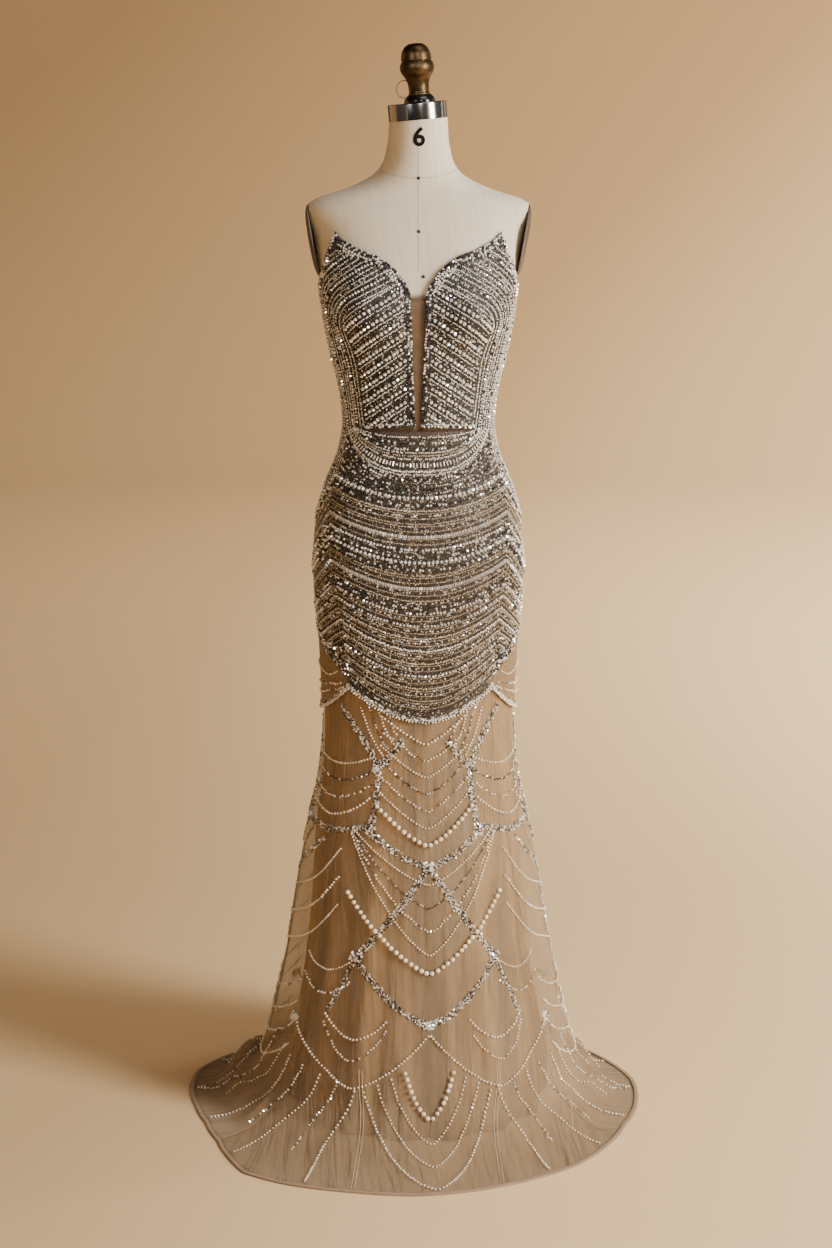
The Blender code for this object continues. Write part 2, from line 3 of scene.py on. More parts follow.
import bpy
import numpy as np
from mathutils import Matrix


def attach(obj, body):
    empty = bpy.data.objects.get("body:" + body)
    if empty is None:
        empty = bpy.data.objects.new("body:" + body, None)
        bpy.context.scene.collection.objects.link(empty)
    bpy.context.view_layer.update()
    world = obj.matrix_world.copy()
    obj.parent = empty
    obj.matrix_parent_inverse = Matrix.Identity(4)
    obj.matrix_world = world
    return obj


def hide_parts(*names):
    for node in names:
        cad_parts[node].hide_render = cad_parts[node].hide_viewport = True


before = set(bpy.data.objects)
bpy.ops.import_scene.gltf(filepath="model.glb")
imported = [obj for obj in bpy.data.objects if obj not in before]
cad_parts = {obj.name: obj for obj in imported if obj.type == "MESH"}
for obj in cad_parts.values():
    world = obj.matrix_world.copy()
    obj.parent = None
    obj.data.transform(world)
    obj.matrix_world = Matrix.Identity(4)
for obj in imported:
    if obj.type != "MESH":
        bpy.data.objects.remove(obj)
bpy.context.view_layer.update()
print("frame loaded:", len(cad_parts), "solids")

mm = 0.001
chance = np.random.default_rng(6)


# Camera, light and floor.
cameraSetup = {"place": (-0.0036, -4.40, 1.70), "tilt": 78.565, "lens": 78.43, "sensor": 36.0}
bpy.ops.object.camera_add(location=cameraSetup["place"], rotation=(math.radians(cameraSetup["tilt"]), 0, 0))
camera = bpy.context.object
camera.data.sensor_fit = "VERTICAL"
camera.data.sensor_height = cameraSetup["sensor"]
camera.data.lens = cameraSetup["lens"]
camera.data.clip_end = 100
bpy.context.scene.camera = camera


def deselectAll():
    bpy.ops.object.select_all(action="DESELECT")


def pick(piece):
    deselectAll()
    piece.select_set(True)
    bpy.context.view_layer.objects.active = piece


def applyModifiers(piece):
    pick(piece)
    for modifier in list(piece.modifiers):
        bpy.ops.object.modifier_apply(modifier=modifier.name)


def bakePlace(piece):
    pick(piece)
    bpy.ops.object.transform_apply(location=True, rotation=True, scale=True)


def meshPoints(piece):
    flat = np.empty(len(piece.data.vertices) * 3)
    piece.data.vertices.foreach_get("co", flat)
    return flat.reshape(-1, 3)


def movePoints(piece, points):
    piece.data.vertices.foreach_set("co", points.ravel())
    piece.data.update()


def onWholeMesh(*actions):
    # in edit mode, with the whole mesh selected before each action
    bpy.ops.object.mode_set(mode="EDIT")
    for action in actions:
        bpy.ops.mesh.select_all(action="SELECT")
        action()
    bpy.ops.object.mode_set(mode="OBJECT")


def mergePoints():
    bpy.ops.mesh.remove_doubles(threshold=1e-6)


def turnOutwards():
    bpy.ops.mesh.normals_make_consistent(inside=False)


def newMaterial(name, baseColor, roughness, metallic=0.0):
    made = bpy.data.materials.new(name)
    made.use_nodes = True
    shader = made.node_tree.nodes["Principled BSDF"]
    shader.inputs["Base Color"].default_value = (*baseColor, 1)
    shader.inputs["Roughness"].default_value = roughness
    shader.inputs["Metallic"].default_value = metallic
    return made, made.node_tree.nodes, made.node_tree.links, shader


def addNode(nodes, kind, **settings):
    node = nodes.new(kind)
    for name, value in settings.items():
        if hasattr(node, name):
            setattr(node, name, value)
        else:
            node.inputs[name].default_value = value
    return node


def addRamp(nodes, stops):
    ramp = nodes.new("ShaderNodeValToRGB")
    while len(ramp.color_ramp.elements) < len(stops):
        ramp.color_ramp.elements.new(0.5)
    for element, (place, color) in zip(ramp.color_ramp.elements, stops):
        element.position = place
        element.color = (*color, 1)
    return ramp


def addMath(nodes, links, operation, *values):
    node = addNode(nodes, "ShaderNodeMath", operation=operation)
    for socket, value in zip(node.inputs, values):
        if isinstance(value, float):
            socket.default_value = value
        else:
            links.new(value, socket)
    return node.outputs["Value"]


def addMapRange(nodes, links, source, ends=(0.0, 1.0), made=(0.0, 1.0), **settings):
    node = addNode(nodes, "ShaderNodeMapRange", **settings)
    for name, value in zip(("From Min", "From Max", "To Min", "To Max"), (*ends, *made)):
        node.inputs[name].default_value = value
    links.new(source, node.inputs["Value"])
    return node.outputs["Result"]


def addMix(nodes, links, share, first, plainColor):
    node = addNode(nodes, "ShaderNodeMix", data_type="RGBA")
    links.new(share, node.inputs[0])
    links.new(first, node.inputs[6])
    node.inputs[7].default_value = (*plainColor, 1)
    return node.outputs[2]


def objectPlace(nodes):
    return nodes.new("ShaderNodeTexCoord").outputs["Object"]


def placeAxes(nodes, links):
    split = nodes.new("ShaderNodeSeparateXYZ")
    links.new(objectPlace(nodes), split.inputs["Vector"])
    return split.outputs


def stretched(nodes, links, source, scale):
    mapping = addNode(nodes, "ShaderNodeMapping")
    mapping.inputs["Scale"].default_value = scale
    links.new(source, mapping.inputs["Vector"])
    return mapping.outputs["Vector"]


# the paper's tones run from painted shade at the left and top to its own pale colour
studio = {"floorRadius": 7.1, "bowlRadius": 4.8, "bowlSteps": 36, "wallTop": 1.0,
          "paperAndPaintedShade": [(0.0, (0.36, 0.235, 0.108)), (0.37, (0.545, 0.362, 0.172)), (0.60, (0.64, 0.425, 0.198)),
                    (0.78, (0.85, 0.60, 0.315)), (1.0, (0.97, 0.69, 0.368))],
          "shade": (-4.3, 1.2), "shadeWay": (0.85, -0.10, -0.9), "paleFrom": (8.0, 30.0),
          "below": 0.0006, "boardMiddle": 1.5, "boardHeight": 2.8,
          "roomColor": (1.0, 0.79, 0.52), "roomStrength": 0.02}
# name, place, aimed at, width, height, power, colour, seen by cloth as well as by shine
lights = [
    ("keyLight", (3.1, -1.9, 2.1), (0.0, 0.0, 1.0), 1.1, 2.2, 300, (1.0, 0.97, 0.93), True),
    ("backdropLight", (3.9, 1.6, 2.3), (2.6, 5.4, 0.2), 1.6, 1.8, 330, (1.0, 0.96, 0.90), True),
    ("fillLight", (-2.6, -3.6, 2.0), (0.0, 0.0, 0.9), 2.2, 2.2, 0.8, (1.0, 0.90, 0.77), True),
    ("topLight", (0.9, -0.8, 4.3), (0.0, 0.0, 0.6), 1.8, 1.8, 34, (1.0, 0.95, 0.89), True),
    ("sparkleLeft", (-2.0, -3.3, 2.9), (0.0, 0.0, 0.9), 0.7, 0.7, 60, (1.0, 0.97, 0.94), False),
    ("sparkleRight", (0.9, -3.9, 3.3), (0.0, 0.0, 0.9), 0.7, 0.7, 70, (1.0, 0.98, 0.96), False),
    ("wallBehind", (2.6, 4.0, 5.0), (2.9, 10.5, 1.2), 6.0, 3.0, 400, (1.0, 0.96, 0.90), True),
    ("wallAhead", (0.0, -3.4, 5.0), (0.0, -10.2, 1.2), 6.0, 3.0, 600, (1.0, 0.96, 0.90), True),
    ("wallLeft", (3.4, 0.0, 5.0), (10.2, 0.0, 1.2), 6.0, 3.0, 500, (1.0, 0.96, 0.90), True),
    ("wallRight", (-3.4, 0.0, 5.0), (-10.2, 0.0, 1.2), 6.0, 3.0, 240, (1.0, 0.96, 0.90), True),
]
# Boards seen only as reflections in metal and glass: direction from the gown (0 towards the camera,
# right is positive), half width in degrees, distance, shade.
boards = [(-14, 27, 3.6, (0.008, 0.008, 0.008)), (27, 12, 3.8, (0.035, 0.035, 0.037)),
          (100, 30, 3.7, (0.07, 0.076, 0.085)), (-68, 24, 3.8, (0.09, 0.088, 0.086)),
          (180, 40, 4.4, (0.06, 0.055, 0.05))]


def makeFloor():
    deselectAll()
    bpy.ops.mesh.primitive_circle_add(vertices=96, radius=studio["floorRadius"], fill_type="NGON",
                                      location=(0, 0, -studio["below"]))
    floor = bpy.context.object
    floor.name = "studio_floor"
    # a wide curve all round turns the floor up into the wall
    bpy.ops.object.mode_set(mode="EDIT")
    bpy.ops.mesh.select_all(action="SELECT")
    reach, height = studio["floorRadius"], 0.0
    for step in range(1, studio["bowlSteps"] + 1):
        turn = math.radians(90 * step / studio["bowlSteps"])
        further = studio["floorRadius"] + studio["bowlRadius"] * math.sin(turn)
        higher = studio["bowlRadius"] * (1 - math.cos(turn))
        bpy.ops.mesh.extrude_region_move(TRANSFORM_OT_translate={"value": (0, 0, higher - height)})
        bpy.ops.transform.resize(value=(further / reach, further / reach, 1), center_override=(0, 0, 0))
        reach, height = further, higher
    bpy.ops.mesh.extrude_region_move(TRANSFORM_OT_translate={"value": (0, 0, studio["wallTop"])})
    bpy.ops.mesh.delete(type="ONLY_FACE")
    bpy.ops.object.mode_set(mode="OBJECT")
    bakePlace(floor)
    floor.data.shade_smooth()
    finish, nodes, links, shader = newMaterial("studioPaper", studio["paperAndPaintedShade"][-1][1], 0.9)
    # painted shade: the paper is coloured darker towards the left and the top, where the light falls off
    slant = addNode(nodes, "ShaderNodeVectorMath", operation="DOT_PRODUCT")
    slant.inputs[1].default_value = studio["shadeWay"]
    links.new(objectPlace(nodes), slant.inputs[0])
    across = addMapRange(nodes, links, slant.outputs["Value"], studio["shade"])
    # and pale again far out to either side
    aside = placeAxes(nodes, links)["X"]
    far = addMapRange(nodes, links, addMath(nodes, links, "MULTIPLY", aside, aside), studio["paleFrom"])
    tone = addRamp(nodes, studio["paperAndPaintedShade"])
    links.new(addMath(nodes, links, "ADD", across, far), tone.inputs["Fac"])
    links.new(tone.outputs["Color"], shader.inputs["Base Color"])
    floor.data.materials.append(finish)


def hangLights():
    for name, place, aim, width, height, power, color, everywhere in lights:
        bpy.ops.object.light_add(type="AREA", location=place)
        lamp = bpy.context.object
        lamp.name = name
        lamp.data.shape = "RECTANGLE"
        lamp.data.size = width
        lamp.data.size_y = height
        lamp.data.energy = power
        lamp.data.color = color
        lamp.visible_camera = False
        lamp.visible_diffuse = everywhere
        away = np.array(aim) - np.array(place)
        flat = math.hypot(away[0], away[1])
        lamp.rotation_euler = (math.atan2(flat, -away[2]), 0, math.atan2(-away[0], away[1]))


def standBoards():
    for number, (turn, spread, distance, shade) in enumerate(boards):
        away = math.radians(turn)
        deselectAll()
        place = (distance * math.sin(away), -distance * math.cos(away), studio["boardMiddle"])
        bpy.ops.mesh.primitive_plane_add(size=1, rotation=(math.radians(90), 0, away), location=place)
        board = bpy.context.object
        board.name = f"studio_board_{number + 1}"
        board.scale = (2 * distance * math.tan(math.radians(spread)), studio["boardHeight"], 1)
        bakePlace(board)
        board.data.materials.append(newMaterial(f"board{number + 1}", shade, 0.9)[0])
        for ray in ("visible_camera", "visible_diffuse", "visible_shadow", "visible_transmission"):
            setattr(board, ray, False)


def lightRoom():
    world = bpy.data.worlds.new("softRoom")
    bpy.context.scene.world = world
    world.use_nodes = True
    sky = world.node_tree.nodes["Background"]
    sky.inputs["Color"].default_value = (*studio["roomColor"], 1)
    sky.inputs["Strength"].default_value = studio["roomStrength"]


makeFloor()
hangLights()
standBoards()
lightRoom()
print("studio made")


# The cloth's shape.
# The figure: height, half width, depth in front, depth behind, squareness. Metres, front at -Y.
figureRows = np.array([
    (0.000, 0.2720, 0.2540, 0.2800, 2.0), (0.069, 0.2645, 0.2460, 0.2700, 2.0),
    (0.105, 0.2540, 0.2340, 0.2580, 2.0), (0.247, 0.2210, 0.1990, 0.2180, 2.0),
    (0.409, 0.1955, 0.1620, 0.1740, 2.0), (0.484, 0.1835, 0.1440, 0.1540, 2.0),
    (0.544, 0.1685, 0.1290, 0.1380, 2.1), (0.618, 0.1590, 0.1170, 0.1250, 2.1),
    (0.681, 0.1567, 0.1110, 0.1200, 2.1), (0.783, 0.1600, 0.1090, 0.1240, 2.2),
    (0.900, 0.1676, 0.1090, 0.1290, 2.2), (0.959, 0.1658, 0.1060, 0.1240, 2.2),
    (1.033, 0.1525, 0.0990, 0.1080, 2.2), (1.100, 0.1265, 0.0900, 0.0900, 2.2),
    (1.140, 0.1188, 0.0880, 0.0850, 2.2), (1.200, 0.1235, 0.0950, 0.0890, 2.2),
    (1.262, 0.1385, 0.1060, 0.0960, 2.3), (1.340, 0.1520, 0.1170, 0.1000, 2.4),
    (1.385, 0.1565, 0.1090, 0.0960, 2.4), (1.455, 0.1700, 0.0860, 0.0800, 2.3),
    (1.497, 0.1765, 0.0680, 0.0660, 2.0), (1.505, 0.1640, 0.0640, 0.0630, 2.0),
    (1.518, 0.1225, 0.0590, 0.0600, 2.0), (1.545, 0.0690, 0.0560, 0.0560, 2.0),
    (1.560, 0.0580, 0.0540, 0.0530, 2.0), (1.585, 0.0505, 0.0500, 0.0500, 2.0),
    (1.629, 0.0465, 0.0465, 0.0465, 2.0),
])
cups = {"angle": 36, "height": 1.328, "depth": 0.021, "spread": 19, "above": 0.058, "below": 0.046}
skirtTurn = np.array([(0.00, 4.0), (0.40, 6.0), (0.64, 6.0), (1.14, 0.0), (1.64, 0.0)])  # height, degrees
princess = np.array([(0.60, 0.114), (0.90, 0.114), (1.00, 0.117), (1.135, 0.108),
                     (1.24, 0.113), (1.33, 0.118), (1.40, 0.125), (1.456, 0.1305)])  # height, from the centre
sideSeam = 105
waist = 1.142
seamGap = 0.3 * mm
neckline = np.array([(0.0000, 1.345), (0.0115, 1.357), (0.0144, 1.368), (0.0226, 1.382), (0.0380, 1.401),
                     (0.0520, 1.412), (0.0648, 1.420), (0.0870, 1.427), (0.1037, 1.435),
                     (0.1215, 1.445), (0.1305, 1.456), (0.1600, 1.480)])  # from the centre, height
underarm = np.array([(58, 1.500), (63.6, 1.456), (68, 1.416), (72, 1.398), (80, 1.375),
                     (95, 1.362), (120, 1.352), (180, 1.335)])  # angle, height
slit = {"top": 1.360, "halfTop": 0.0127, "halfWaist": 0.0040}
insertStrip = {"top": 1.363, "halfWidth": 0.021, "inner": 0.9 * mm, "outer": 1.8 * mm}
beadedCloth = {"inner": 2.4 * mm, "outer": 4.2 * mm}
scallop = {"height": 0.719, "corner": 56, "frontDrop": 0.051, "sideDrop": 0.047, "backDrop": 0.051}
tulleCloth = {"top": 0.752, "sweepStart": 0.069, "inner": -0.4 * mm, "outer": 0.6 * mm,
              "swell": 0.3, "drop": 0.25, "reach": 0.45, "foldsEnd": 0.86, "fallingRows": 0.6}
hemWidth = 7 * mm
hemLine = np.array([(0, 0.457), (12, 0.447), (24, 0.434), (38, 0.421), (50, 0.401), (64, 0.382), (80, 0.377),
                    (96, 0.374), (112, 0.360), (124, 0.352), (136, 0.372), (150, 0.415), (165, 0.448),
                    (180, 0.462), (195, 0.452), (210, 0.422), (224, 0.378), (236, 0.356), (246, 0.376),
                    (257, 0.394), (268, 0.392), (282, 0.384), (294, 0.386), (306, 0.404), (315, 0.432),
                    (323, 0.460), (332, 0.462), (346, 0.456), (360, 0.457)])  # angle, distance from the pole
# Main folds of the tulle: angle, half width in degrees, how far one stands out,
# how far it rises off the floor.
mainFolds = np.array([(-25, 4, 0.0030, 0.004), (31, 4, 0.0030, 0.004), (-53, 7, 0.0060, 0.006),
                      (58, 7, 0.0060, 0.008), (-80, 8, 0.0070, 0.012), (84, 7, 0.0060, 0.010),
                      (-106, 8, 0.0100, 0.030), (112, 8, 0.0100, 0.028), (-132, 8, 0.0090, 0.018),
                      (137, 8, 0.0090, 0.018), (-157, 9, 0.0110, 0.022), (162, 9, 0.0110, 0.020),
                      (183, 7, 0.0060, 0.012)])
foldStart, foldFull = 0.62, 0.10
# How far the lining hangs inside the figure: height, at the sides, in front and behind.
liningGap = np.array([(0.000, 0.058, 0.018), (0.069, 0.056, 0.026), (0.158, 0.046, 0.027),
                      (0.247, 0.040, 0.026), (0.335, 0.034, 0.021), (0.475, 0.017, 0.013),
                      (0.544, 0.009, 0.008), (0.618, 0.004, 0.004), (0.800, 0.003, 0.003)])


def smoothLookup(table, at):
    key, values = table[:, 0], table[:, 1:]
    at = np.clip(np.asarray(at, float), key[0], key[-1])
    low = np.clip(np.searchsorted(key, at) - 1, 0, len(key) - 2)
    slopes = np.gradient(values, key, axis=0)
    span = key[low + 1] - key[low]
    t = ((at - key[low]) / span)[..., None]
    span = span[..., None]
    return ((2 * t**3 - 3 * t**2 + 1) * values[low] + (t**3 - 2 * t**2 + t) * span * slopes[low]
            + (3 * t**2 - 2 * t**3) * values[low + 1] + (t**3 - t**2) * span * slopes[low + 1])


def straightLookup(table, at):
    return np.interp(at, table[:, 0], table[:, 1])


def smoothStep(value):
    value = np.clip(value, 0, 1)
    return value * value * (3 - 2 * value)


def ovalRadius(angle, halfWidth, front, back, squareness):
    side, ahead = np.abs(np.sin(angle)), np.cos(angle)
    depth = np.where(ahead > 0, front, back)
    return ((side / halfWidth) ** squareness + (np.abs(ahead) / depth) ** squareness) ** (-1 / squareness)


def figureRadius(angle, height):
    halfWidth, front, back, squareness = np.moveaxis(smoothLookup(figureRows, height), -1, 0)
    spread = math.radians(cups["spread"])
    lift = height - cups["height"]
    tall = np.where(lift > 0, cups["above"], cups["below"])
    swell = sum(np.exp(-(((angle - side * math.radians(cups["angle"])) / spread) ** 2)) for side in (-1, 1))
    cup = cups["depth"] * swell * np.exp(-((lift / tall) ** 2))
    return ovalRadius(angle, halfWidth, front, back, squareness) + cup


def atRadius(angle, radius, height):
    return np.stack([radius * np.sin(angle), -radius * np.cos(angle), height + 0 * radius], -1)


def figure(angle, height):
    return atRadius(angle, figureRadius(angle, height), height)


def foldRidges(folds, angle, column):
    total = 0 * angle
    for fold in folds:
        away = (np.degrees(angle) - fold[0] + 180) % 360 - 180
        total = total + fold[column] * np.exp(-((away / fold[1]) ** 2))
    return total


# Finer creases of the tulle, in the same terms.
fineCreases = np.array([
    (-8, 3, 0.8 * mm, 0.8 * mm), (9, 2.5, 0.6 * mm, 1.2 * mm), (-17, 2.5, -1.0 * mm, 1.4 * mm),
    (18, 2, -0.8 * mm, 0.6 * mm), (-37, 3, -1.4 * mm, 2.2 * mm), (42, 3.5, 1.6 * mm, 2.0 * mm),
    (-45, 2.5, 1.3 * mm, 2.8 * mm), (50, 2.5, -1.2 * mm, 2.4 * mm), (-66, 3.2, -1.8 * mm, 4 * mm),
    (70, 4, -1.6 * mm, 4 * mm), (-92, 4, -2.2 * mm, 8 * mm), (98, 4, -2.2 * mm, 7 * mm),
    (-118, 5, -2.4 * mm, 6 * mm), (124, 5, -2.2 * mm, 7 * mm), (-145, 5, -2.4 * mm, 5 * mm),
    (149, 5, -2.6 * mm, 6 * mm), (-170, 4, -1.8 * mm, 5 * mm), (173, 4, -1.6 * mm, 4 * mm),
    (-60, 1.9, 1.6 * mm, 13 * mm), (-72, 2.2, -1.6 * mm, 14 * mm), (-77, 2.0, 1.8 * mm, 8 * mm),
    (-86, 2.2, 1.4 * mm, 13 * mm), (-12, 2.0, 0.8 * mm, 3 * mm), (16, 2.0, 0.8 * mm, 3 * mm),
    (25, 2.2, -0.8 * mm, 2.4 * mm), (-100, 5, 0, 15 * mm), (-112, 4, 0, 12 * mm), (103, 5, 0, 13 * mm),
    (64, 1.9, 1.6 * mm, 10 * mm), (77, 2.2, -1.4 * mm, 12 * mm), (91, 2.4, 1.6 * mm, 11 * mm),
])
allFolds = np.concatenate([mainFolds, fineCreases])


def skirt(angle, level):
    # a level above zero is a height above the sweep, below zero the share of the way out over the floor
    height = np.maximum(level, 0) + tulleCloth["sweepStart"]
    foldsOut = foldRidges(allFolds, angle, 2) * smoothStep((foldStart - height) / (foldStart - foldFull))
    falling = figureRadius(angle, height) + foldsOut
    out = np.clip(-level, 0, 1)
    hem = straightLookup(hemLine, np.degrees(angle) % 360) - hemWidth - seamGap
    start = tulleCloth["sweepStart"]
    radii = (falling, falling + tulleCloth["swell"] * start,
             falling + tulleCloth["reach"] * (hem - falling), hem)
    heights = (start, tulleCloth["drop"] * start, 0.0, 0.0)
    weights = ((1 - out) ** 3, 3 * out * (1 - out) ** 2, 3 * out**2 * (1 - out), out**3)
    radius = sum(share * value for share, value in zip(weights, radii))
    lying = sum(share * value for share, value in zip(weights, heights))
    rise = foldRidges(allFolds, angle, 3) * np.sin(np.pi * np.clip(out / tulleCloth["foldsEnd"], 0, 1)) ** 2
    return atRadius(angle, radius, np.where(level > 0, height, lying + rise))


def movedOut(surface, angle, level, distance):
    step = 1e-4
    across = surface(angle + step, level) - surface(angle - step, level)
    up = surface(angle, level + step) - surface(angle, level - step)
    normal = np.cross(across, up)
    normal /= np.linalg.norm(normal, axis=-1, keepdims=True)
    return surface(angle, level) + np.asarray(distance)[..., None] * normal


def turnAt(angle, height):
    front = np.where(np.abs(angle) < math.pi / 2, np.cos(angle) ** 2, 0)
    return angle + np.radians(straightLookup(skirtTurn, height)) * front


def angleAtX(distance, height):
    halfWidth, front, _, squareness = np.moveaxis(smoothLookup(figureRows, height), -1, 0)
    share = np.clip(np.abs(distance) / halfWidth, 0, 0.999)
    depth = front * (1 - share**squareness) ** (1 / squareness)
    return np.sign(distance) * np.arctan2(np.abs(distance), depth)


def topEdge(edge, place):
    # the height at which each place reaches the top edge, closed in on from both sides
    highest, rounds = 1.50, 40
    low, high = np.full(place(waist).shape, waist), np.full(place(waist).shape, highest)
    for _ in range(rounds):
        middle = (low + high) / 2
        below = edge(place(middle)) > middle
        low, high = np.where(below, middle, low), np.where(below, high, middle)
    return low


def scallopHeight(angle):
    degrees = np.abs(np.degrees(angle))
    corner = scallop["corner"]
    middle = np.where(degrees < corner, 0, np.where(degrees < 180 - corner, 90, 180))
    half = np.where(middle == 90, 90 - corner, corner)
    aside = np.where(middle == 90, scallop["sideDrop"], scallop["backDrop"])
    drop = np.where(middle == 0, scallop["frontDrop"], aside)
    return scallop["height"] - drop * (1 - ((degrees - middle) / half) ** 2)


# Cloth materials.
def cutPlace(nodes):
    return addNode(nodes, "ShaderNodeUVMap", uv_map="cutCloth").outputs["UV"]


# The lens left bare across the front of the waist: its edges at the middle, how fast they close in,
# the direction where it ends.
waistLens = {"top": 1.1480, "topBend": 0.55, "foot": 1.1345, "footBend": 1.05, "end": 54, "soft": 0.5 * mm,
             "color": (0.050, 0.027, 0.016)}


def lensEdges(degrees, height):
    across = figureRadius(np.radians(degrees), height) * np.sin(np.radians(degrees))
    foot = waistLens["foot"] + waistLens["footBend"] * across**2
    return foot, waistLens["top"] - waistLens["topBend"] * across**2


def lensMask(nodes, links):
    # one inside the lens and none outside, from the place on the gown
    place = placeAxes(nodes, links)
    square = addMath(nodes, links, "MULTIPLY", place["X"], place["X"])
    whole = addMath(nodes, links, "LESS_THAN", place["Y"], 0.0)
    for bend, edge, way in ((-waistLens["footBend"], waistLens["foot"], 1),
                            (waistLens["topBend"], waistLens["top"], -1)):
        level = addMath(nodes, links, "MULTIPLY_ADD", square, bend, place["Z"])
        soft = way * waistLens["soft"]
        past = addMapRange(nodes, links, level, (edge - soft, edge + soft))
        whole = addMath(nodes, links, "MULTIPLY", whole, past)
    return whole


def beadedMaterial(name, settings):
    # seed beads sewn close together: each cell of a fine network is one bead of its own tone
    made, nodes, links, shader = newMaterial(name, settings["groundInPaintedShade"], settings["roughness"])
    cells = addNode(nodes, "ShaderNodeTexVoronoi", Scale=settings["cells"])
    links.new(cutPlace(nodes), cells.inputs["Vector"])
    split = nodes.new("ShaderNodeSeparateColor")
    links.new(cells.outputs["Color"], split.inputs["Color"])
    tone = addRamp(nodes, settings["tones"])
    links.new(split.outputs["Red"], tone.inputs["Fac"])
    # painted shade: at its edge each bead gives way to the ground, coloured much darker than the bare mesh as
    # shade between the beads
    rim = addRamp(nodes, [(0.25, (0, 0, 0)), (0.55, (1, 1, 1))])
    links.new(cells.outputs["Distance"], rim.inputs["Fac"])
    beads = addMix(nodes, links, rim.outputs["Color"], tone.outputs["Color"], settings["groundInPaintedShade"])
    bare = addNode(nodes, "ShaderNodeAttribute", attribute_type="GEOMETRY", attribute_name="bare")
    meshed = addMix(nodes, links, bare.outputs["Fac"], beads, settings["mesh"])
    lensed = addMix(nodes, links, lensMask(nodes, links), meshed, waistLens["color"])
    links.new(lensed, shader.inputs["Base Color"])
    shine = addMapRange(nodes, links, split.outputs["Green"], made=settings["shine"])
    links.new(shine, shader.inputs["Roughness"])
    bump = addNode(nodes, "ShaderNodeBump", Strength=0.9, Distance=0.0009, invert=True)
    links.new(cells.outputs["Distance"], bump.inputs["Height"])
    links.new(bump.outputs["Normal"], shader.inputs["Normal"])
    shader.inputs["Metallic"].default_value = settings["metallic"]
    return made


def weaveMaterial(name, settings):
    # plain cloth: crossed threads with slubs (on the lining, long streaks of painted fold shade) and a soft
    # sheen
    made, nodes, links, shader = newMaterial(name, settings["light"], settings["roughness"])
    place = cutPlace(nodes)
    waves = []
    for way in ("X", "Y"):
        wave = addNode(nodes, "ShaderNodeTexWave", wave_type="BANDS", bands_direction=way,
                       Scale=settings["threads"], Distortion=1.5, Detail=2.0)
        links.new(place, wave.inputs["Vector"])
        waves.append(wave.outputs["Fac"])
    # slubs in the cloth's tone; on the lining these streaks are painted shade of its folds
    slubsAndFoldShade = addNode(nodes, "ShaderNodeTexNoise", Scale=settings["slubsAndFoldShade"], Detail=4.0, Roughness=0.6)
    links.new(stretched(nodes, links, place, settings["slubAndFoldShadeStretch"]), slubsAndFoldShade.inputs["Vector"])
    narrow = settings.get("contrast", 0.20)
    tone = addRamp(nodes, [(0.5 - narrow, settings["dark"]), (0.5 + narrow, settings["light"])])
    links.new(slubsAndFoldShade.outputs["Fac"], tone.inputs["Fac"])
    links.new(tone.outputs["Color"], shader.inputs["Base Color"])
    bump = addNode(nodes, "ShaderNodeBump", Strength=settings["bump"], Distance=0.0004)
    links.new(addMath(nodes, links, "MULTIPLY", *waves), bump.inputs["Height"])
    if "creases" in settings:
        scale, length, height = settings["creases"]
        crease = addNode(nodes, "ShaderNodeTexNoise", Scale=scale, Detail=3.0, Roughness=0.55, Distortion=0.4)
        links.new(stretched(nodes, links, place, (1, length, 1)), crease.inputs["Vector"])
        soft = addNode(nodes, "ShaderNodeBump", Strength=1.0, Distance=height)
        links.new(crease.outputs["Fac"], soft.inputs["Height"])
        links.new(soft.outputs["Normal"], bump.inputs["Normal"])
    links.new(bump.outputs["Normal"], shader.inputs["Normal"])
    shader.inputs["Sheen Weight"].default_value = settings["sheen"]
    shader.inputs["Sheen Roughness"].default_value = 0.5
    shader.inputs["Sheen Tint"].default_value = (1.0, 0.88, 0.72, 1)
    if "fadesOut" in settings:
        # the insert's top edge melts into the linen
        height = placeAxes(nodes, links)["Z"]
        fade = addMapRange(nodes, links, height, settings["fadesOut"], interpolation_type="SMOOTHSTEP")
        links.new(fade, shader.inputs["Alpha"])
    if "alpha" in settings:
        # sheer where it hangs, closer and browner where it lies on the floor
        laid = addMapRange(nodes, links, placeAxes(nodes, links)["Z"], settings["fallen"])
        shift = addMix(nodes, links, laid, tone.outputs["Color"], settings["laid"])
        links.new(shift, shader.inputs["Base Color"])
        cover = addMapRange(nodes, links, laid, made=settings["alpha"])
        # soft upright streaks where the cloth lies closer
        layers = addNode(nodes, "ShaderNodeTexNoise", Scale=settings["streaks"], Detail=1.0)
        links.new(stretched(nodes, links, place, settings["streakStretch"]), layers.inputs["Vector"])
        closer = addMapRange(nodes, links, layers.outputs["Fac"], *settings["closer"])
        links.new(addMath(nodes, links, "MULTIPLY", cover, closer), shader.inputs["Alpha"])
    return made


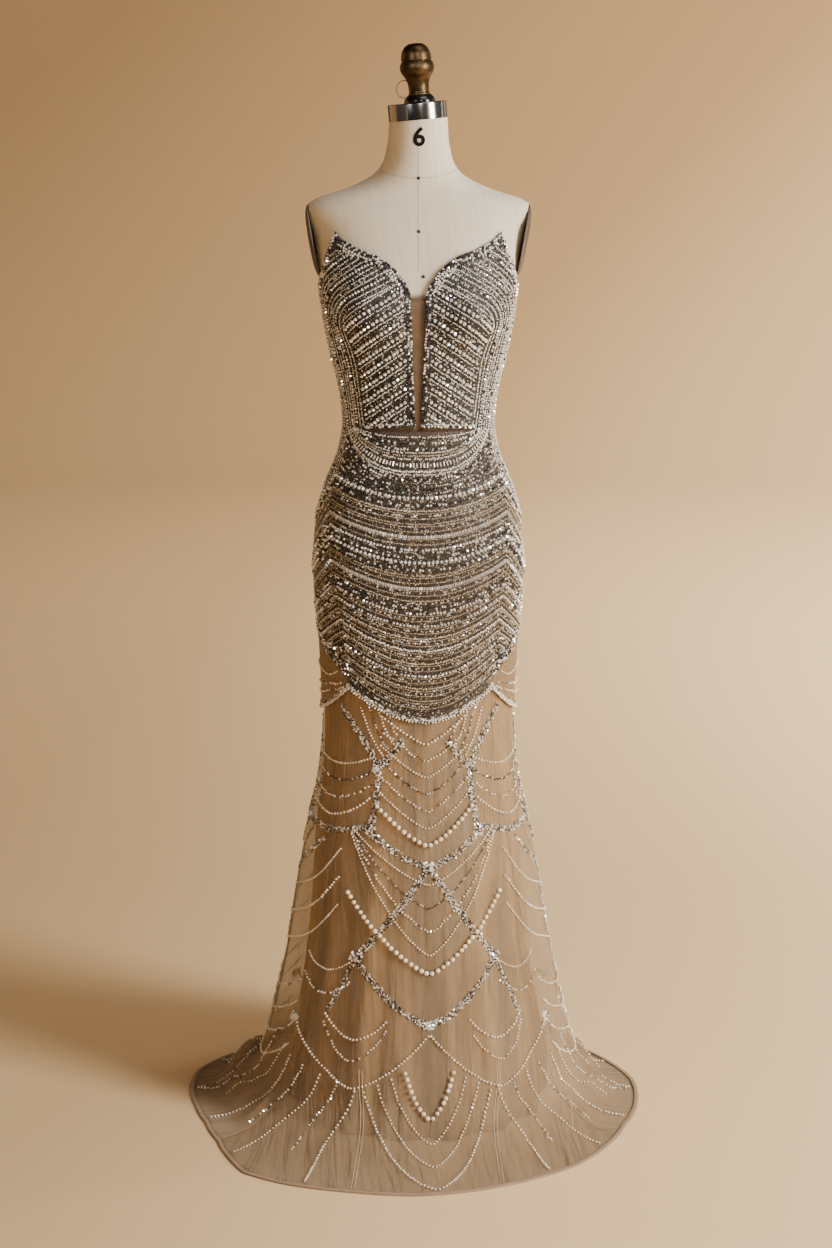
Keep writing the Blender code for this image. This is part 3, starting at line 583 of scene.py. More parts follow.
clothFinishes = {
    # the ground is the mesh between the beads, coloured darker than the bare mesh as painted shade
    "bodice": {"groundInPaintedShade": (0.022, 0.016, 0.012), "cells": 430, "roughness": 0.5, "metallic": 0.2,
               "mesh": (0.10, 0.07, 0.045), "shine": (0.25, 0.75),
               "tones": [(0.0, (0.010, 0.008, 0.007)), (0.55, (0.035, 0.028, 0.023)),
                         (0.86, (0.14, 0.12, 0.10)), (0.97, (0.7, 0.68, 0.64))]},
    "hip": {"groundInPaintedShade": (0.026, 0.016, 0.009), "cells": 400, "roughness": 0.5, "metallic": 0.2,
            "mesh": (0.21, 0.14, 0.078), "shine": (0.25, 0.75),
            "tones": [(0.0, (0.014, 0.009, 0.005)), (0.50, (0.062, 0.040, 0.020)),
                      (0.88, (0.20, 0.138, 0.074)), (0.97, (0.7, 0.62, 0.50))]},
    "nude": {"light": (0.125, 0.076, 0.034), "dark": (0.085, 0.050, 0.022), "roughness": 0.8,
             "threads": 400, "slubsAndFoldShade": 60, "slubAndFoldShadeStretch": (1, 1, 1), "bump": 0.3, "sheen": 0.2,
             "fadesOut": (1.3635, 1.347)},
    "tulle": {"light": (0.46, 0.325, 0.185), "dark": (0.32, 0.222, 0.122), "roughness": 0.7,
              "threads": 330, "slubsAndFoldShade": 40, "slubAndFoldShadeStretch": (1, 0.25, 1), "bump": 0.25, "sheen": 0.3,
              "alpha": (0.29, 0.43),
              "streaks": 15, "streakStretch": (1, 0.09, 1), "closer": ((0.30, 0.70), (0.80, 1.35)),
              "fallen": (0.10, 0.01), "laid": (0.29, 0.188, 0.097), "creases": (46, 0.13, 0.014)},
    # the lining's long dark and light streaks are painted shade of its folds
    "lining": {"light": (0.37, 0.200, 0.052), "dark": (0.065, 0.029, 0.007), "roughness": 0.5,
               "threads": 420, "slubsAndFoldShade": 13, "slubAndFoldShadeStretch": (1, 0.05, 1), "contrast": 0.10, "bump": 0.2,
               "sheen": 0.15, "creases": (26, 0.05, 0.022)},
    "binding": {"light": (0.33, 0.215, 0.13), "dark": (0.26, 0.165, 0.095), "roughness": 0.7,
                "threads": 420, "slubsAndFoldShade": 60, "slubAndFoldShadeStretch": (1, 1, 1), "bump": 0.2, "sheen": 0.2},
    "linen": {"light": (0.635, 0.582, 0.465), "dark": (0.555, 0.507, 0.400), "roughness": 0.9,
              "threads": 300, "slubsAndFoldShade": 150, "slubAndFoldShadeStretch": (1, 0.06, 1), "contrast": 0.20, "bump": 0.5,
              "sheen": 0.15},
}
bodiceFinish = beadedMaterial("sequinnedMesh", clothFinishes["bodice"])
hipFinish = beadedMaterial("champagneMesh", clothFinishes["hip"])
nudeFinish = weaveMaterial("nudeMesh", clothFinishes["nude"])
tulleFinish = weaveMaterial("sheerTulle", clothFinishes["tulle"])
liningFinish = weaveMaterial("softLining", clothFinishes["lining"])
bindingFinish = weaveMaterial("boundEdge", clothFinishes["binding"])
linenFinish = weaveMaterial("formLinen", clothFinishes["linen"])
print("cloth finishes mixed")


# Cloth panels.
sheets = []  # each panel of cloth and the size it was cut to


def flatGrid(name, columns, rows):
    # a flat grid, and how far across and up each of its points lies
    deselectAll()
    bpy.ops.mesh.primitive_grid_add(x_subdivisions=columns, y_subdivisions=rows, size=2)
    piece = bpy.context.object
    piece.name = name
    return piece, (meshPoints(piece)[:, :2] + 1) / 2


def mapCut(mesh, cut):
    # the flat cut becomes the mesh's only map
    layer = mesh.uv_layers.new(name="cutCloth")
    corner = np.empty(len(mesh.loops), int)
    mesh.loops.foreach_get("vertex_index", corner)
    layer.data.foreach_set("uv", cut[corner].ravel())
    mesh.uv_layers.remove(mesh.uv_layers[0])


def clothPanel(name, surface, place, grid, walls, finish, held, rests):
    # a grid laid on a surface; place turns shares across and up into direction and level
    columns, rows = grid
    piece, shares = flatGrid(name, columns, rows)
    order = np.lexsort((shares[:, 0], shares[:, 1]))  # row by row from the lower left
    across, up = np.moveaxis(shares[order].reshape(rows + 1, columns + 1, 2), -1, 0)
    points = movedOut(surface, *place(across, up), walls["inner"])
    placed = np.empty((len(shares), 3))
    placed[order] = points.reshape(-1, 3)
    movePoints(piece, placed)
    # the flat cut: lengths down each column and across each row from the middle one
    length = np.pad(np.cumsum(np.linalg.norm(np.diff(points, axis=0), axis=-1), axis=0), ((1, 0), (0, 0)))
    width = np.pad(np.cumsum(np.linalg.norm(np.diff(points, axis=1), axis=-1), axis=1), ((0, 0), (1, 0)))
    width = width - width[:, columns // 2][:, None]
    cut = np.empty((len(shares), 2))
    cut[order] = np.stack([width, length], -1).reshape(-1, 2)
    mapCut(piece.data, cut)
    first, second = points[1:, 1:] - points[:-1, :-1], points[1:, :-1] - points[:-1, 1:]
    area = 0.5 * np.linalg.norm(np.cross(first, second), axis=-1).sum()
    wall = piece.modifiers.new("wall", "SOLIDIFY")
    wall.thickness = walls["outer"] - walls["inner"]
    wall.offset = 1
    applyModifiers(piece)
    piece.data.shade_smooth()
    piece.data.materials.append(finish)
    size = (float(width.max() - width.min()), float(length.max()))
    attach(piece, "root")
    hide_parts(name)
    piece.name = name + "_cloth"
    area = min(float(area), size[0] * size[1])
    sheets.append((piece, {"flat": size, "held": held, "rests_on": rests, "area": area}))
    return piece


def seamNudge(angle, height):
    return 0.5 * seamGap / figureRadius(angle, height)


def halfSlit(height):
    return np.interp(height, (waist, slit["top"]), (slit["halfWaist"], slit["halfTop"]))


def bodiceFrontPlace(side):
    def place(across, up):
        share = across if side > 0 else 1 - across

        def distance(height):
            edge = halfSlit(height)
            return edge + share * (straightLookup(princess, height) - 0.5 * seamGap - edge)

        top = topEdge(lambda x: straightLookup(neckline, x), lambda height: distance(height + 0 * share))
        foot = waist + 0.5 * seamGap
        height = foot + up * (top - foot)
        return side * angleAtX(distance(height), height), height
    return place


columnCrowding = 1.4  # of the side panels' columns, towards the princess line


def bodiceSidePlace(side):
    def place(across, up):
        share = (across if side > 0 else 1 - across) ** columnCrowding
        seam = math.radians(sideSeam)

        def direction(height):
            start = angleAtX(straightLookup(princess, height) + 0.5 * seamGap, height)
            return start + share * (seam - seamNudge(seam, height) - start)

        top = topEdge(lambda turn: straightLookup(underarm, np.degrees(turn)),
                      lambda height: direction(height + 0 * share))
        foot = waist + 0.5 * seamGap
        height = foot + up * (top - foot)
        return side * direction(height), height
    return place


def bodiceBackPlace(side):
    def place(across, up):
        share = across if side > 0 else 1 - across
        first, last = math.radians(sideSeam), math.pi
        nudge = seamNudge(first, waist)
        angle = first + nudge + share * (last - first - 2 * nudge)
        foot = waist + 0.5 * seamGap
        return side * angle, foot + up * (straightLookup(underarm, np.degrees(angle)) - foot)
    return place


def insertPlace(across, up):
    height = waist + 0.5 * seamGap + up * (insertStrip["top"] - waist - 0.5 * seamGap)
    return angleAtX((2 * across - 1) * insertStrip["halfWidth"], height), height


def hipDirection(cloth, height):
    # the seams beside the front panel follow the princess line
    seam, behind = math.radians(scallop["corner"]), math.radians(sideSeam)
    line = angleAtX(straightLookup(princess, height), height)
    size = np.abs(cloth)
    inside = size * line / seam
    beside = line + (size - seam) * (behind - line) / (behind - seam)
    size = np.where(size <= seam + 1e-9, inside, np.where(size < behind, beside, size))
    return turnAt(np.sign(cloth) * size, height)


def hipPlace(first, last):
    def place(across, up):
        cloth = math.radians(first) + across * math.radians(last - first)
        low, high = scallopHeight(cloth), waist - 0.5 * seamGap
        height = low + up * (high - low)
        angle = hipDirection(cloth, height)
        return angle + seamNudge(angle, height) * (1 - 2 * across), height
    return place


def skirtPlace(first, last, fallingShare):
    def place(across, up):
        cloth = math.radians(first) + across * math.radians(last - first)
        falling = (up - 1 + fallingShare) / fallingShare * (tulleCloth["top"] - tulleCloth["sweepStart"])
        lying = -(1 - fallingShare - up) / (1 - fallingShare)
        level = np.where(up >= 1 - fallingShare - 1e-9, falling, lying)
        height = np.maximum(level, 0) + tulleCloth["sweepStart"] * (1 - np.clip(-level, 0, 1))
        angle = turnAt(cloth, height)
        nudge = seamNudge(angle, np.maximum(height, tulleCloth["sweepStart"]))
        return angle + nudge * (1 - 2 * across), level
    return place


# Long soft folds of the lining: angle, half width in degrees, depth.
liningFolds = np.array([
    (-50, 5, 9.4 * mm), (-39, 4, -6.3 * mm), (-28, 4, 11 * mm), (-17, 4, -7.8 * mm), (-7, 4, 7.8 * mm),
    (4, 4, -9.4 * mm), (14, 4.5, 9.4 * mm), (25, 4, -6.3 * mm), (35, 5, 11 * mm), (47, 5, -7.8 * mm),
    (60, 6, 9.4 * mm), (78, 7, -7.8 * mm), (96, 7, 11 * mm), (115, 7, -9.4 * mm), (133, 7, 9.4 * mm),
    (150, 7, -7.8 * mm), (168, 7, 9.4 * mm), (-66, 6, -7.8 * mm), (-84, 7, 9.4 * mm), (-103, 7, -9.4 * mm),
    (-122, 7, 9.4 * mm), (-141, 7, -7.8 * mm), (-160, 7, 9.4 * mm),
])


def liningSurface(angle, height):
    sideGap, frontGap = np.moveaxis(smoothLookup(liningGap, height), -1, 0)
    halfWidth, front, back, squareness = np.moveaxis(smoothLookup(figureRows, height), -1, 0)
    radius = ovalRadius(angle, halfWidth - sideGap, front - frontGap, back - frontGap, squareness)
    full = smoothStep((liningHang["foldStart"] - height) / liningHang["foldGrowth"])
    return atRadius(angle, radius + full * foldRidges(liningFolds, angle, 2), height)


liningHang = {"hem": 3 * mm, "top": 0.752, "inner": -1.2 * mm, "outer": 0.0, "foldStart": 0.60,
              "foldGrowth": 0.35}


def liningPlace(first, last):
    def place(across, up):
        angle = np.radians(first + across * (last - first))
        height = liningHang["hem"] + up * (liningHang["top"] - liningHang["hem"])
        return angle + seamNudge(angle, height) * (1 - 2 * across), height
    return place


# The beading's lower edge round each side, over bare mesh: direction, height.
sideBand = [(54, 0.748), (60, 0.762), (68, 0.780), (78, 0.800), (90, 0.818)]


# The bare mesh below it: how far under the edge it begins, over what height and over how many degrees.
bareMesh = {"under": 0.004, "height": 0.008, "start": 53.5, "within": 3}


def markBareMesh(piece):
    points = meshPoints(piece)
    turn = np.abs(np.degrees(np.arctan2(points[:, 0], -points[:, 1])))
    turn = np.where(turn > 90, 180 - turn, turn)
    edge = straightLookup(np.array(sideBand), turn)
    bare = smoothStep((edge - bareMesh["under"] - points[:, 2]) / bareMesh["height"])
    bare *= smoothStep((turn - bareMesh["start"]) / bareMesh["within"])
    piece.data.attributes.new("bare", "FLOAT", "POINT").data.foreach_set("value", bare.astype(np.float32))


# The panels of each cloth: name, first and last direction in degrees, columns of the grid.
hipPanels = [("hip_front", -56, 56, 40), ("hip_side_left", 56, 105, 20), ("hip_side_right", -105, -56, 20),
             ("hip_back_left", 105, 180, 26), ("hip_back_right", -180, -105, 26)]
skirtPanels = [("skirt_front", -56, 56, 80), ("skirt_side_left", 56, 116, 44),
               ("skirt_back_left", 116, 180, 48), ("skirt_back_right", -180, -116, 48),
               ("skirt_side_right", -116, -56, 44)]
liningPanels = [("lining_front", -60, 60, 60), ("lining_back_left", 60, 180, 60),
                ("lining_back_right", -180, -60, 60)]
bodicePanels = [("front", bodiceFrontPlace, (24, 36)), ("side", bodiceSidePlace, (14, 30)),
                ("back", bodiceBackPlace, (18, 22))]  # part, how it is placed, grid


def makeCloth():
    for side, hand in ((-1, "right"), (1, "left")):
        for part, place, grid in bodicePanels:
            clothPanel(f"bodice_{part}_{hand}", figure, place(side), grid, beadedCloth, bodiceFinish,
                       "stretched", ["form_torso"])
    clothPanel("plunge_insert", figure, insertPlace, (8, 30), insertStrip, nudeFinish,
               "stretched", ["form_torso"])
    for name, first, last, columns in hipPanels:
        panel = clothPanel(name, figure, hipPlace(first, last), (columns, 60), beadedCloth, hipFinish,
                           "stretched", ["form_torso"])
        markBareMesh(panel)
    for name, first, last, columns in skirtPanels:
        clothPanel(name, skirt, skirtPlace(first, last, tulleCloth["fallingRows"]), (columns, 80), tulleCloth,
                   tulleFinish, "hung", ["form_torso", "hip_front_cloth"])
    for name, first, last, columns in liningPanels:
        clothPanel(name, liningSurface, liningPlace(first, last), (columns, 40), liningHang, liningFinish,
                   "hung", ["form_torso"])


makeCloth()
print("cloth laid")


# The dress form.
formShape = {"foot": 0.762, "neckTop": 1.629, "cutStart": 1.57, "neckTilt": 5, "columns": 108, "rows": 190,
             "armFoot": 1.3727, "armTop": 1.497, "armHalfWidth": 0.177, "armLean": 0.1736, "mapDepth": 0.35}
# Soft creases of the linen beside the armholes: direction, height, half width in degrees, half length, depth.
linenCreases = [(63, 1.462, 3.2, 0.022, 0.0009), (70, 1.445, 3.0, 0.026, 0.0011),
                (77, 1.428, 3.0, 0.026, 0.0008), (-62, 1.468, 3.0, 0.020, 0.0010),
                (-69, 1.450, 3.2, 0.028, 0.0012), (-76, 1.430, 2.8, 0.024, 0.0009),
                (112, 1.448, 4.0, 0.024, 0.0009), (-114, 1.440, 4.0, 0.026, 0.0010),
                (128, 1.462, 4.0, 0.020, 0.0007), (-131, 1.456, 4.0, 0.020, 0.0008)]


def armholeFace(height):
    return formShape["armHalfWidth"] - (formShape["armTop"] - height) * formShape["armLean"]


def leaning(points):
    # leaned towards the wearer's right about the middle of the neck's top
    tilt = math.radians(formShape["neckTilt"])
    points = np.array(points, float)
    across, up = points[:, 0].copy(), points[:, 2] - formShape["neckTop"]
    points[:, 0] = across * math.cos(tilt) - up * math.sin(tilt)
    points[:, 2] = formShape["neckTop"] + across * math.sin(tilt) + up * math.cos(tilt)
    return points


def formSurface(angle, height, proud=0.0):
    radius = figureRadius(angle, height) + proud
    degrees = np.degrees(angle)
    for turn, middle, wide, tall, depth in linenCreases:
        radius = radius - depth * np.exp(-(((degrees - turn) / wide) ** 2) - ((height - middle) / tall) ** 2)
    points = atRadius(angle, radius, height)
    flat = (height > formShape["armFoot"]) & (height < formShape["armTop"])
    limit = armholeFace(height)
    points[..., 0] = np.where(flat, np.clip(points[..., 0], -limit, limit), points[..., 0])
    nearTop = smoothStep((height - formShape["cutStart"]) / (formShape["neckTop"] - formShape["cutStart"]))
    points[..., 2] += points[..., 0] * math.tan(math.radians(formShape["neckTilt"])) * nearTop
    return points


def fillHoles(piece):
    # joins the grid's two sides and closes its open ends
    pick(piece)
    onWholeMesh(lambda: bpy.ops.mesh.select_mode(type="VERT"),
                lambda: bpy.ops.mesh.remove_doubles(threshold=1e-5),
                lambda: bpy.ops.mesh.fill_holes(sides=0), turnOutwards)


def wrappedGrid(name, columns, rows, place):
    # a grid rolled into a tube; place turns shares round and up into points and lengths of the cut
    piece, shares = flatGrid(name, columns, rows)
    points, cut = place(shares[:, 0], shares[:, 1])
    movePoints(piece, points)
    mapCut(piece.data, cut)
    fillHoles(piece)
    return piece


def finishPiece(piece, finish, replaced=None, angle=35):
    piece.data.materials.append(finish)
    pick(piece)
    bpy.ops.object.shade_smooth_by_angle(angle=math.radians(angle))
    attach(piece, "root")
    if replaced:
        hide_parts(replaced)
    return piece


def makeForm():
    def place(around, up):
        angle = (2 * around - 1) * math.pi
        height = formShape["foot"] + up * (formShape["neckTop"] - formShape["foot"])
        points = formSurface(angle, height)
        return points, np.stack([points[:, 0] + formShape["mapDepth"] * points[:, 1], height], -1)

    body = wrappedGrid("form_body", formShape["columns"], formShape["rows"], place)
    finishPiece(body, linenFinish, "form_torso")


def joinPieces(pieces, name):
    deselectAll()
    for piece in pieces:
        piece.select_set(True)
    bpy.context.view_layer.objects.active = pieces[0]
    bpy.ops.object.join()
    joined = bpy.context.object
    joined.name = name
    joined.data.materials.clear()
    return joined


threadSeam = {"radius": 0.00034, "proud": 0.00010}


def threadTube(name, points, radius):
    curve = bpy.data.curves.new(name, "CURVE")
    curve.dimensions = "3D"
    curve.bevel_depth = radius
    curve.bevel_resolution = 1
    line = curve.splines.new("POLY")
    line.points.add(len(points) - 1)
    line.points.foreach_set("co", np.column_stack([points, np.ones(len(points))]).ravel())
    made = bpy.data.objects.new(name, curve)
    bpy.context.scene.collection.objects.link(made)
    curve.use_fill_caps = True
    pick(made)
    bpy.ops.object.convert(target="MESH")
    return bpy.context.object


def seamThread(name, angle, height):
    # one sewn seam of the linen, a fine thread lying along it, coloured dark as painted shade in the seam
    points = formSurface(np.asarray(angle, float), np.asarray(height, float), threadSeam["proud"])
    return threadTube(name, points, threadSeam["radius"])


neckSeam = {"front": 1.539, "side": 1.553, "back": 1.556}
# The other seams: name, direction in degrees, lower and upper end.
upSeams = [("seam_front", 0, 1.395, 1.627), ("seam_back", 180, 1.34, 1.627),
           ("seam_shoulder_left", 93, 1.499, 1.553), ("seam_shoulder_right", -93, 1.499, 1.553)]


def makeSeams():
    turn = np.linspace(-math.pi, math.pi, 181)
    lift = np.where(np.cos(turn) > 0, neckSeam["front"], neckSeam["back"])
    neckHeight = neckSeam["side"] + (lift - neckSeam["side"]) * np.abs(np.cos(turn)) ** 1.5
    seams = [seamThread("seam_neck", turn[:-1], neckHeight[:-1])]
    for name, degrees, low, high in upSeams:
        height = np.linspace(low, high, 60)
        seams.append(seamThread(name, math.radians(degrees) + 0 * height, height))
    finishPiece(joinPieces(seams, "form_seams"), brushed["seamShade"])


# Black-headed pins down the centre front.
pins = {"places": [(0.0005, 1.539), (0.0008, 1.457), (0.0045, 1.388)], "neckRadius": 0.06, "radius": 0.0028,
        "flattening": 0.75}  # places as across and height


def makePins():
    heads = []
    for across, height in pins["places"]:
        angle = math.atan2(across, pins["neckRadius"])
        spot = formSurface(np.array([angle]), np.array([height]))[0]
        deselectAll()
        bpy.ops.mesh.primitive_uv_sphere_add(segments=16, ring_count=10, radius=pins["radius"],
                                             location=tuple(spot))
        head = bpy.context.object
        head.scale = (1, pins["flattening"], 1)
        bakePlace(head)
        heads.append(head)
    finishPiece(joinPieces(heads, "form_pins"), brushed["pinHead"])


# The printed size.
sizeMark = {"text": "6", "size": 0.0395, "weight": 0.0011, "height": 1.6035, "across": 0.0014,
            "thick": 0.00025, "strip": 0.0012, "proud": 0.00045}


def makeSizeMark():
    deselectAll()
    bpy.ops.object.text_add(rotation=(math.radians(90), 0, 0))
    mark = bpy.context.object
    mark.name = "form_size_mark"
    mark.data.body = sizeMark["text"]
    mark.data.size = sizeMark["size"]
    mark.data.align_x = "CENTER"
    mark.data.align_y = "CENTER"
    mark.data.offset = sizeMark["weight"]
    mark.data.extrude = sizeMark["thick"]
    mark.data.resolution_u = 8
    bpy.ops.object.convert(target="MESH")
    mark = bpy.context.object
    bakePlace(mark)
    # cut into narrow strips, so that it can bend round the neck
    across = meshPoints(mark)[:, 0]
    onWholeMesh(mergePoints)
    for place in np.arange(across.min() + sizeMark["strip"], across.max(), sizeMark["strip"]):
        onWholeMesh(lambda: bpy.ops.mesh.bisect(plane_co=(place, 0, 0), plane_no=(1, 0, 0)))
    points = meshPoints(mark)
    middle = (points.max(0) + points.min(0)) / 2
    points -= (middle[0], 0, middle[2])
    height = sizeMark["height"] + points[:, 2]
    angle = (sizeMark["across"] + points[:, 0]) / figureRadius(0.0 * height, height)
    placed = formSurface(angle, height, sizeMark["proud"])
    placed += np.stack([np.sin(angle), -np.cos(angle), 0 * angle], -1) * -points[:, 1:2]
    movePoints(mark, placed)
    pick(mark)
    onWholeMesh(mergePoints, turnOutwards)
    ink = brushed["printInk"]
    ink.node_tree.nodes["Principled BSDF"].inputs["Specular IOR Level"].default_value = 0.1
    finishPiece(mark, ink)


# Arm plates, cap, finial and stand.
def brushedMaterial(name, light, dark, roughness, metallic, scale, stretch, bump):
    made, nodes, links, shader = newMaterial(name, light, roughness, metallic)
    grain = addNode(nodes, "ShaderNodeTexNoise", Scale=scale, Detail=5.0, Roughness=0.6)
    links.new(stretched(nodes, links, objectPlace(nodes), stretch), grain.inputs["Vector"])
    tone = addRamp(nodes, [(0.32, dark), (0.68, light)])
    links.new(grain.outputs["Fac"], tone.inputs["Fac"])
    links.new(tone.outputs["Color"], shader.inputs["Base Color"])
    glossy, dull = roughness * 0.75, min(1.0, roughness * 1.4)
    gloss = addMapRange(nodes, links, grain.outputs["Fac"], made=(glossy, dull))
    links.new(gloss, shader.inputs["Roughness"])
    relief = addNode(nodes, "ShaderNodeBump", Strength=bump, Distance=0.0003)
    links.new(grain.outputs["Fac"], relief.inputs["Height"])
    links.new(relief.outputs["Normal"], shader.inputs["Normal"])
    return made


# Light and dark tone, roughness, metal, fineness of the grain, its stretch, relief.
brushedTones = {
    "polishedSteel": ((0.34, 0.34, 0.335), (0.24, 0.24, 0.235), 0.13, 1.0, 60, (1, 1, 14), 0.04),
    "agedBronze": ((0.105, 0.066, 0.031), (0.038, 0.024, 0.012), 0.38, 1.0, 70, (1, 1, 2), 0.12),
    "darkLacquer": ((0.085, 0.060, 0.044), (0.045, 0.032, 0.024), 0.42, 0.0, 40, (1, 1, 1), 0.06),
    "blackEnamel": ((0.012, 0.011, 0.010), (0.006, 0.006, 0.006), 0.12, 0.0, 40, (1, 1, 1), 0.03),
    "plateRim": ((0.105, 0.076, 0.056), (0.070, 0.050, 0.037), 0.55, 0.0, 80, (1, 1, 1), 0.06),
    "loopBrass": ((0.62, 0.40, 0.17), (0.42, 0.26, 0.10), 0.28, 1.0, 200, (1, 1, 1), 0.05),
    "castIron": ((0.055, 0.053, 0.05), (0.025, 0.024, 0.023), 0.6, 0.5, 120, (1, 1, 1), 0.35),
    "seamShade": ((0.36, 0.32, 0.245), (0.22, 0.19, 0.145), 0.9, 0.0, 900, (1, 1, 1), 0.05),
    "pinHead": ((0.016, 0.014, 0.013), (0.005, 0.005, 0.004), 0.3, 0.0, 2500, (1, 1, 1), 0.02),
    "printInk": ((0.008, 0.007, 0.007), (0.003, 0.003, 0.003), 0.95, 0.0, 1500, (1, 1, 1), 0.05),
    "seamSilk": ((0.66, 0.54, 0.38), (0.48, 0.37, 0.24), 0.5, 0.0, 700, (1, 1, 1), 0.1),
}
brushed = {name: brushedMaterial(name, *tones) for name, tones in brushedTones.items()}

armPlate = {"height": 1.4365, "halfHeight": 0.058, "halfDepth": 0.047, "sides": 72,
            "rings": [(1.0, 0.0), (1.0, 0.0020), (0.985, 0.0026), (0.955, 0.0027), (0.945, 0.0023),
                      (0.90, 0.0046), (0.80, 0.0063), (0.65, 0.0074), (0.45, 0.0081), (0.22, 0.0084)],
            "rimShare": 0.935}


def makeArmPlates():
    for side, hand in ((-1, "right"), (1, "left")):
        deselectAll()
        bpy.ops.mesh.primitive_circle_add(vertices=armPlate["sides"], radius=1, fill_type="NGON")
        plate = bpy.context.object
        plate.name = f"arm_plate_{hand}_disc"
        bpy.ops.object.mode_set(mode="EDIT")
        bpy.ops.mesh.select_all(action="SELECT")
        for (share, out), (before, low) in zip(armPlate["rings"][1:], armPlate["rings"]):
            bpy.ops.mesh.extrude_region_move(TRANSFORM_OT_translate={"value": (0, 0, out - low)})
            bpy.ops.transform.resize(value=(share / before, share / before, 1), center_override=(0, 0, 0))
        bpy.ops.object.mode_set(mode="OBJECT")
        points = meshPoints(plate)
        height = armPlate["height"] + points[:, 0] * armPlate["halfHeight"]
        out = armholeFace(height) + seamGap + points[:, 2]
        movePoints(plate, np.stack([side * out, points[:, 1] * armPlate["halfDepth"], height], -1))
        pick(plate)
        onWholeMesh(turnOutwards)
        finishPiece(plate, brushed["darkLacquer"], f"arm_plate_{hand}", 50)
        plate.data.materials.append(brushed["plateRim"])
        for face in plate.data.polygons:
            middle = np.array(face.center)
            height = (middle[2] - armPlate["height"]) / armPlate["halfHeight"]
            share = math.hypot(height, middle[1] / armPlate["halfDepth"])
            if share > armPlate["rimShare"]:
                face.material_index = 1


def turnedPiece(name, profile, base, finish, beside=0.0, steps=72, sharp=35):
    # a profile of radius and height spun about its axis and leaned with the neck
    deselectAll()
    bpy.ops.mesh.primitive_plane_add(size=1)
    piece = bpy.context.object
    piece.name = f"{name}_turned"
    bpy.ops.object.mode_set(mode="EDIT")
    bpy.ops.mesh.delete(type="VERT")
    bpy.ops.object.mode_set(mode="OBJECT")
    mesh = piece.data
    profile = [(0.0, profile[0][1])] + list(profile) + ([(0.0, profile[-1][1])] if profile[-1][0] > 0 else [])
    mesh.vertices.add(len(profile))
    mesh.vertices.foreach_set("co", np.array([(radius, 0, base + rise) for radius, rise in profile]).ravel())
    mesh.edges.add(len(profile) - 1)
    ends = np.column_stack([np.arange(len(profile) - 1), np.arange(1, len(profile))])
    mesh.edges.foreach_set("vertices", ends.ravel())
    mesh.update()
    turn = {"angle": math.radians(360), "center": (0, 0, 0), "axis": (0, 0, 1)}
    onWholeMesh(lambda: bpy.ops.mesh.spin(steps=steps, **turn), mergePoints, turnOutwards)
    movePoints(piece, leaning(meshPoints(piece) + (beside, 0, 0)))
    return finishPiece(piece, finish, name, sharp)


def reachAlong(points):
    # how far along its line each point lies
    return np.concatenate([[0], np.cumsum(np.linalg.norm(np.diff(points, axis=0), axis=1))])


def roundedProfile(points, count):
    # more places along a turned outline, joined smoothly
    points = np.array(points, float)
    reach = reachAlong(points)
    places = np.unique(np.concatenate([np.linspace(0, reach[-1], count), reach]))
    return [tuple(point) for point in smoothLookup(np.column_stack([reach, points]), places)]


neckTopPieces = {
    "capRadius": 0.0468, "capHeight": 0.026, "capBevel": 0.0012, "offCentre": 0.005,
    "flange": [(0.0250, 0.0), (0.0250, 0.0030), (0.0232, 0.0070), (0.0188, 0.0115), (0.0178, 0.0125)],
    "finialNeck": [(0.0172, 0.0), (0.0172, 0.0016), (0.0165, 0.0022), (0.0163, 0.0085), (0.0166, 0.0150)],
    "finialCup": [(0.0166, 0.0150), (0.0179, 0.0200), (0.0203, 0.0260), (0.0248, 0.0330), (0.0272, 0.0410),
                  (0.0264, 0.0470), (0.0246, 0.0510)],
    "finialGroove": [(0.0246, 0.0510), (0.0229, 0.0521), (0.0229, 0.0528), (0.0244, 0.0538)],
    "finialDome": [(0.0244, 0.0538), (0.0240, 0.0580), (0.0226, 0.0655), (0.0186, 0.0730), (0.0120, 0.0780),
                   (0.0001, 0.0798)],
    "loop": {"radius": 0.0135, "wire": 0.0010, "beside": -0.0175, "behind": 0.0145, "sunk": 0.00375},
}


def makeNeckTop():
    setup = neckTopPieces
    radius, height, bevel = setup["capRadius"], setup["capHeight"], setup["capBevel"]
    base = formShape["neckTop"] + seamGap
    cap = [(radius, 0), (radius, height - bevel)]
    cap += [(radius - bevel + bevel * math.cos(turn), height - bevel + bevel * math.sin(turn))
            for turn in np.radians((30, 60, 90))]
    turnedPiece("neck_cap", cap, base, brushed["polishedSteel"], steps=96)
    base += height + seamGap
    turnedPiece("finial_flange", roundedProfile(setup["flange"], 18), base, brushed["blackEnamel"],
                setup["offCentre"])
    top = base + setup["flange"][-1][1]
    finial = (roundedProfile(setup["finialNeck"], 12) + roundedProfile(setup["finialCup"], 20)[1:]
              + setup["finialGroove"][1:] + roundedProfile(setup["finialDome"], 20)[1:])
    turnedPiece("finial", finial, top + seamGap, brushed["agedBronze"], setup["offCentre"],
                sharp=28)
    loop = setup["loop"]
    deselectAll()
    place = (loop["beside"], loop["behind"], top + loop["radius"] - loop["sunk"])
    bpy.ops.mesh.primitive_torus_add(major_segments=56, minor_segments=12, major_radius=loop["radius"],
                                     minor_radius=loop["wire"], rotation=(math.radians(90), 0, 0),
                                     location=place)
    ring = bpy.context.object
    ring.name = "hanging_loop_wire"
    bakePlace(ring)
    movePoints(ring, leaning(meshPoints(ring)))
    finishPiece(ring, brushed["loopBrass"], "hanging_loop", 60)


def finishStand():
    for name, finish in (("stand_base", "castIron"), ("stand_pole", "polishedSteel")):
        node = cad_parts[name]
        for material in node.material_slots:
            material.material = brushed[finish]


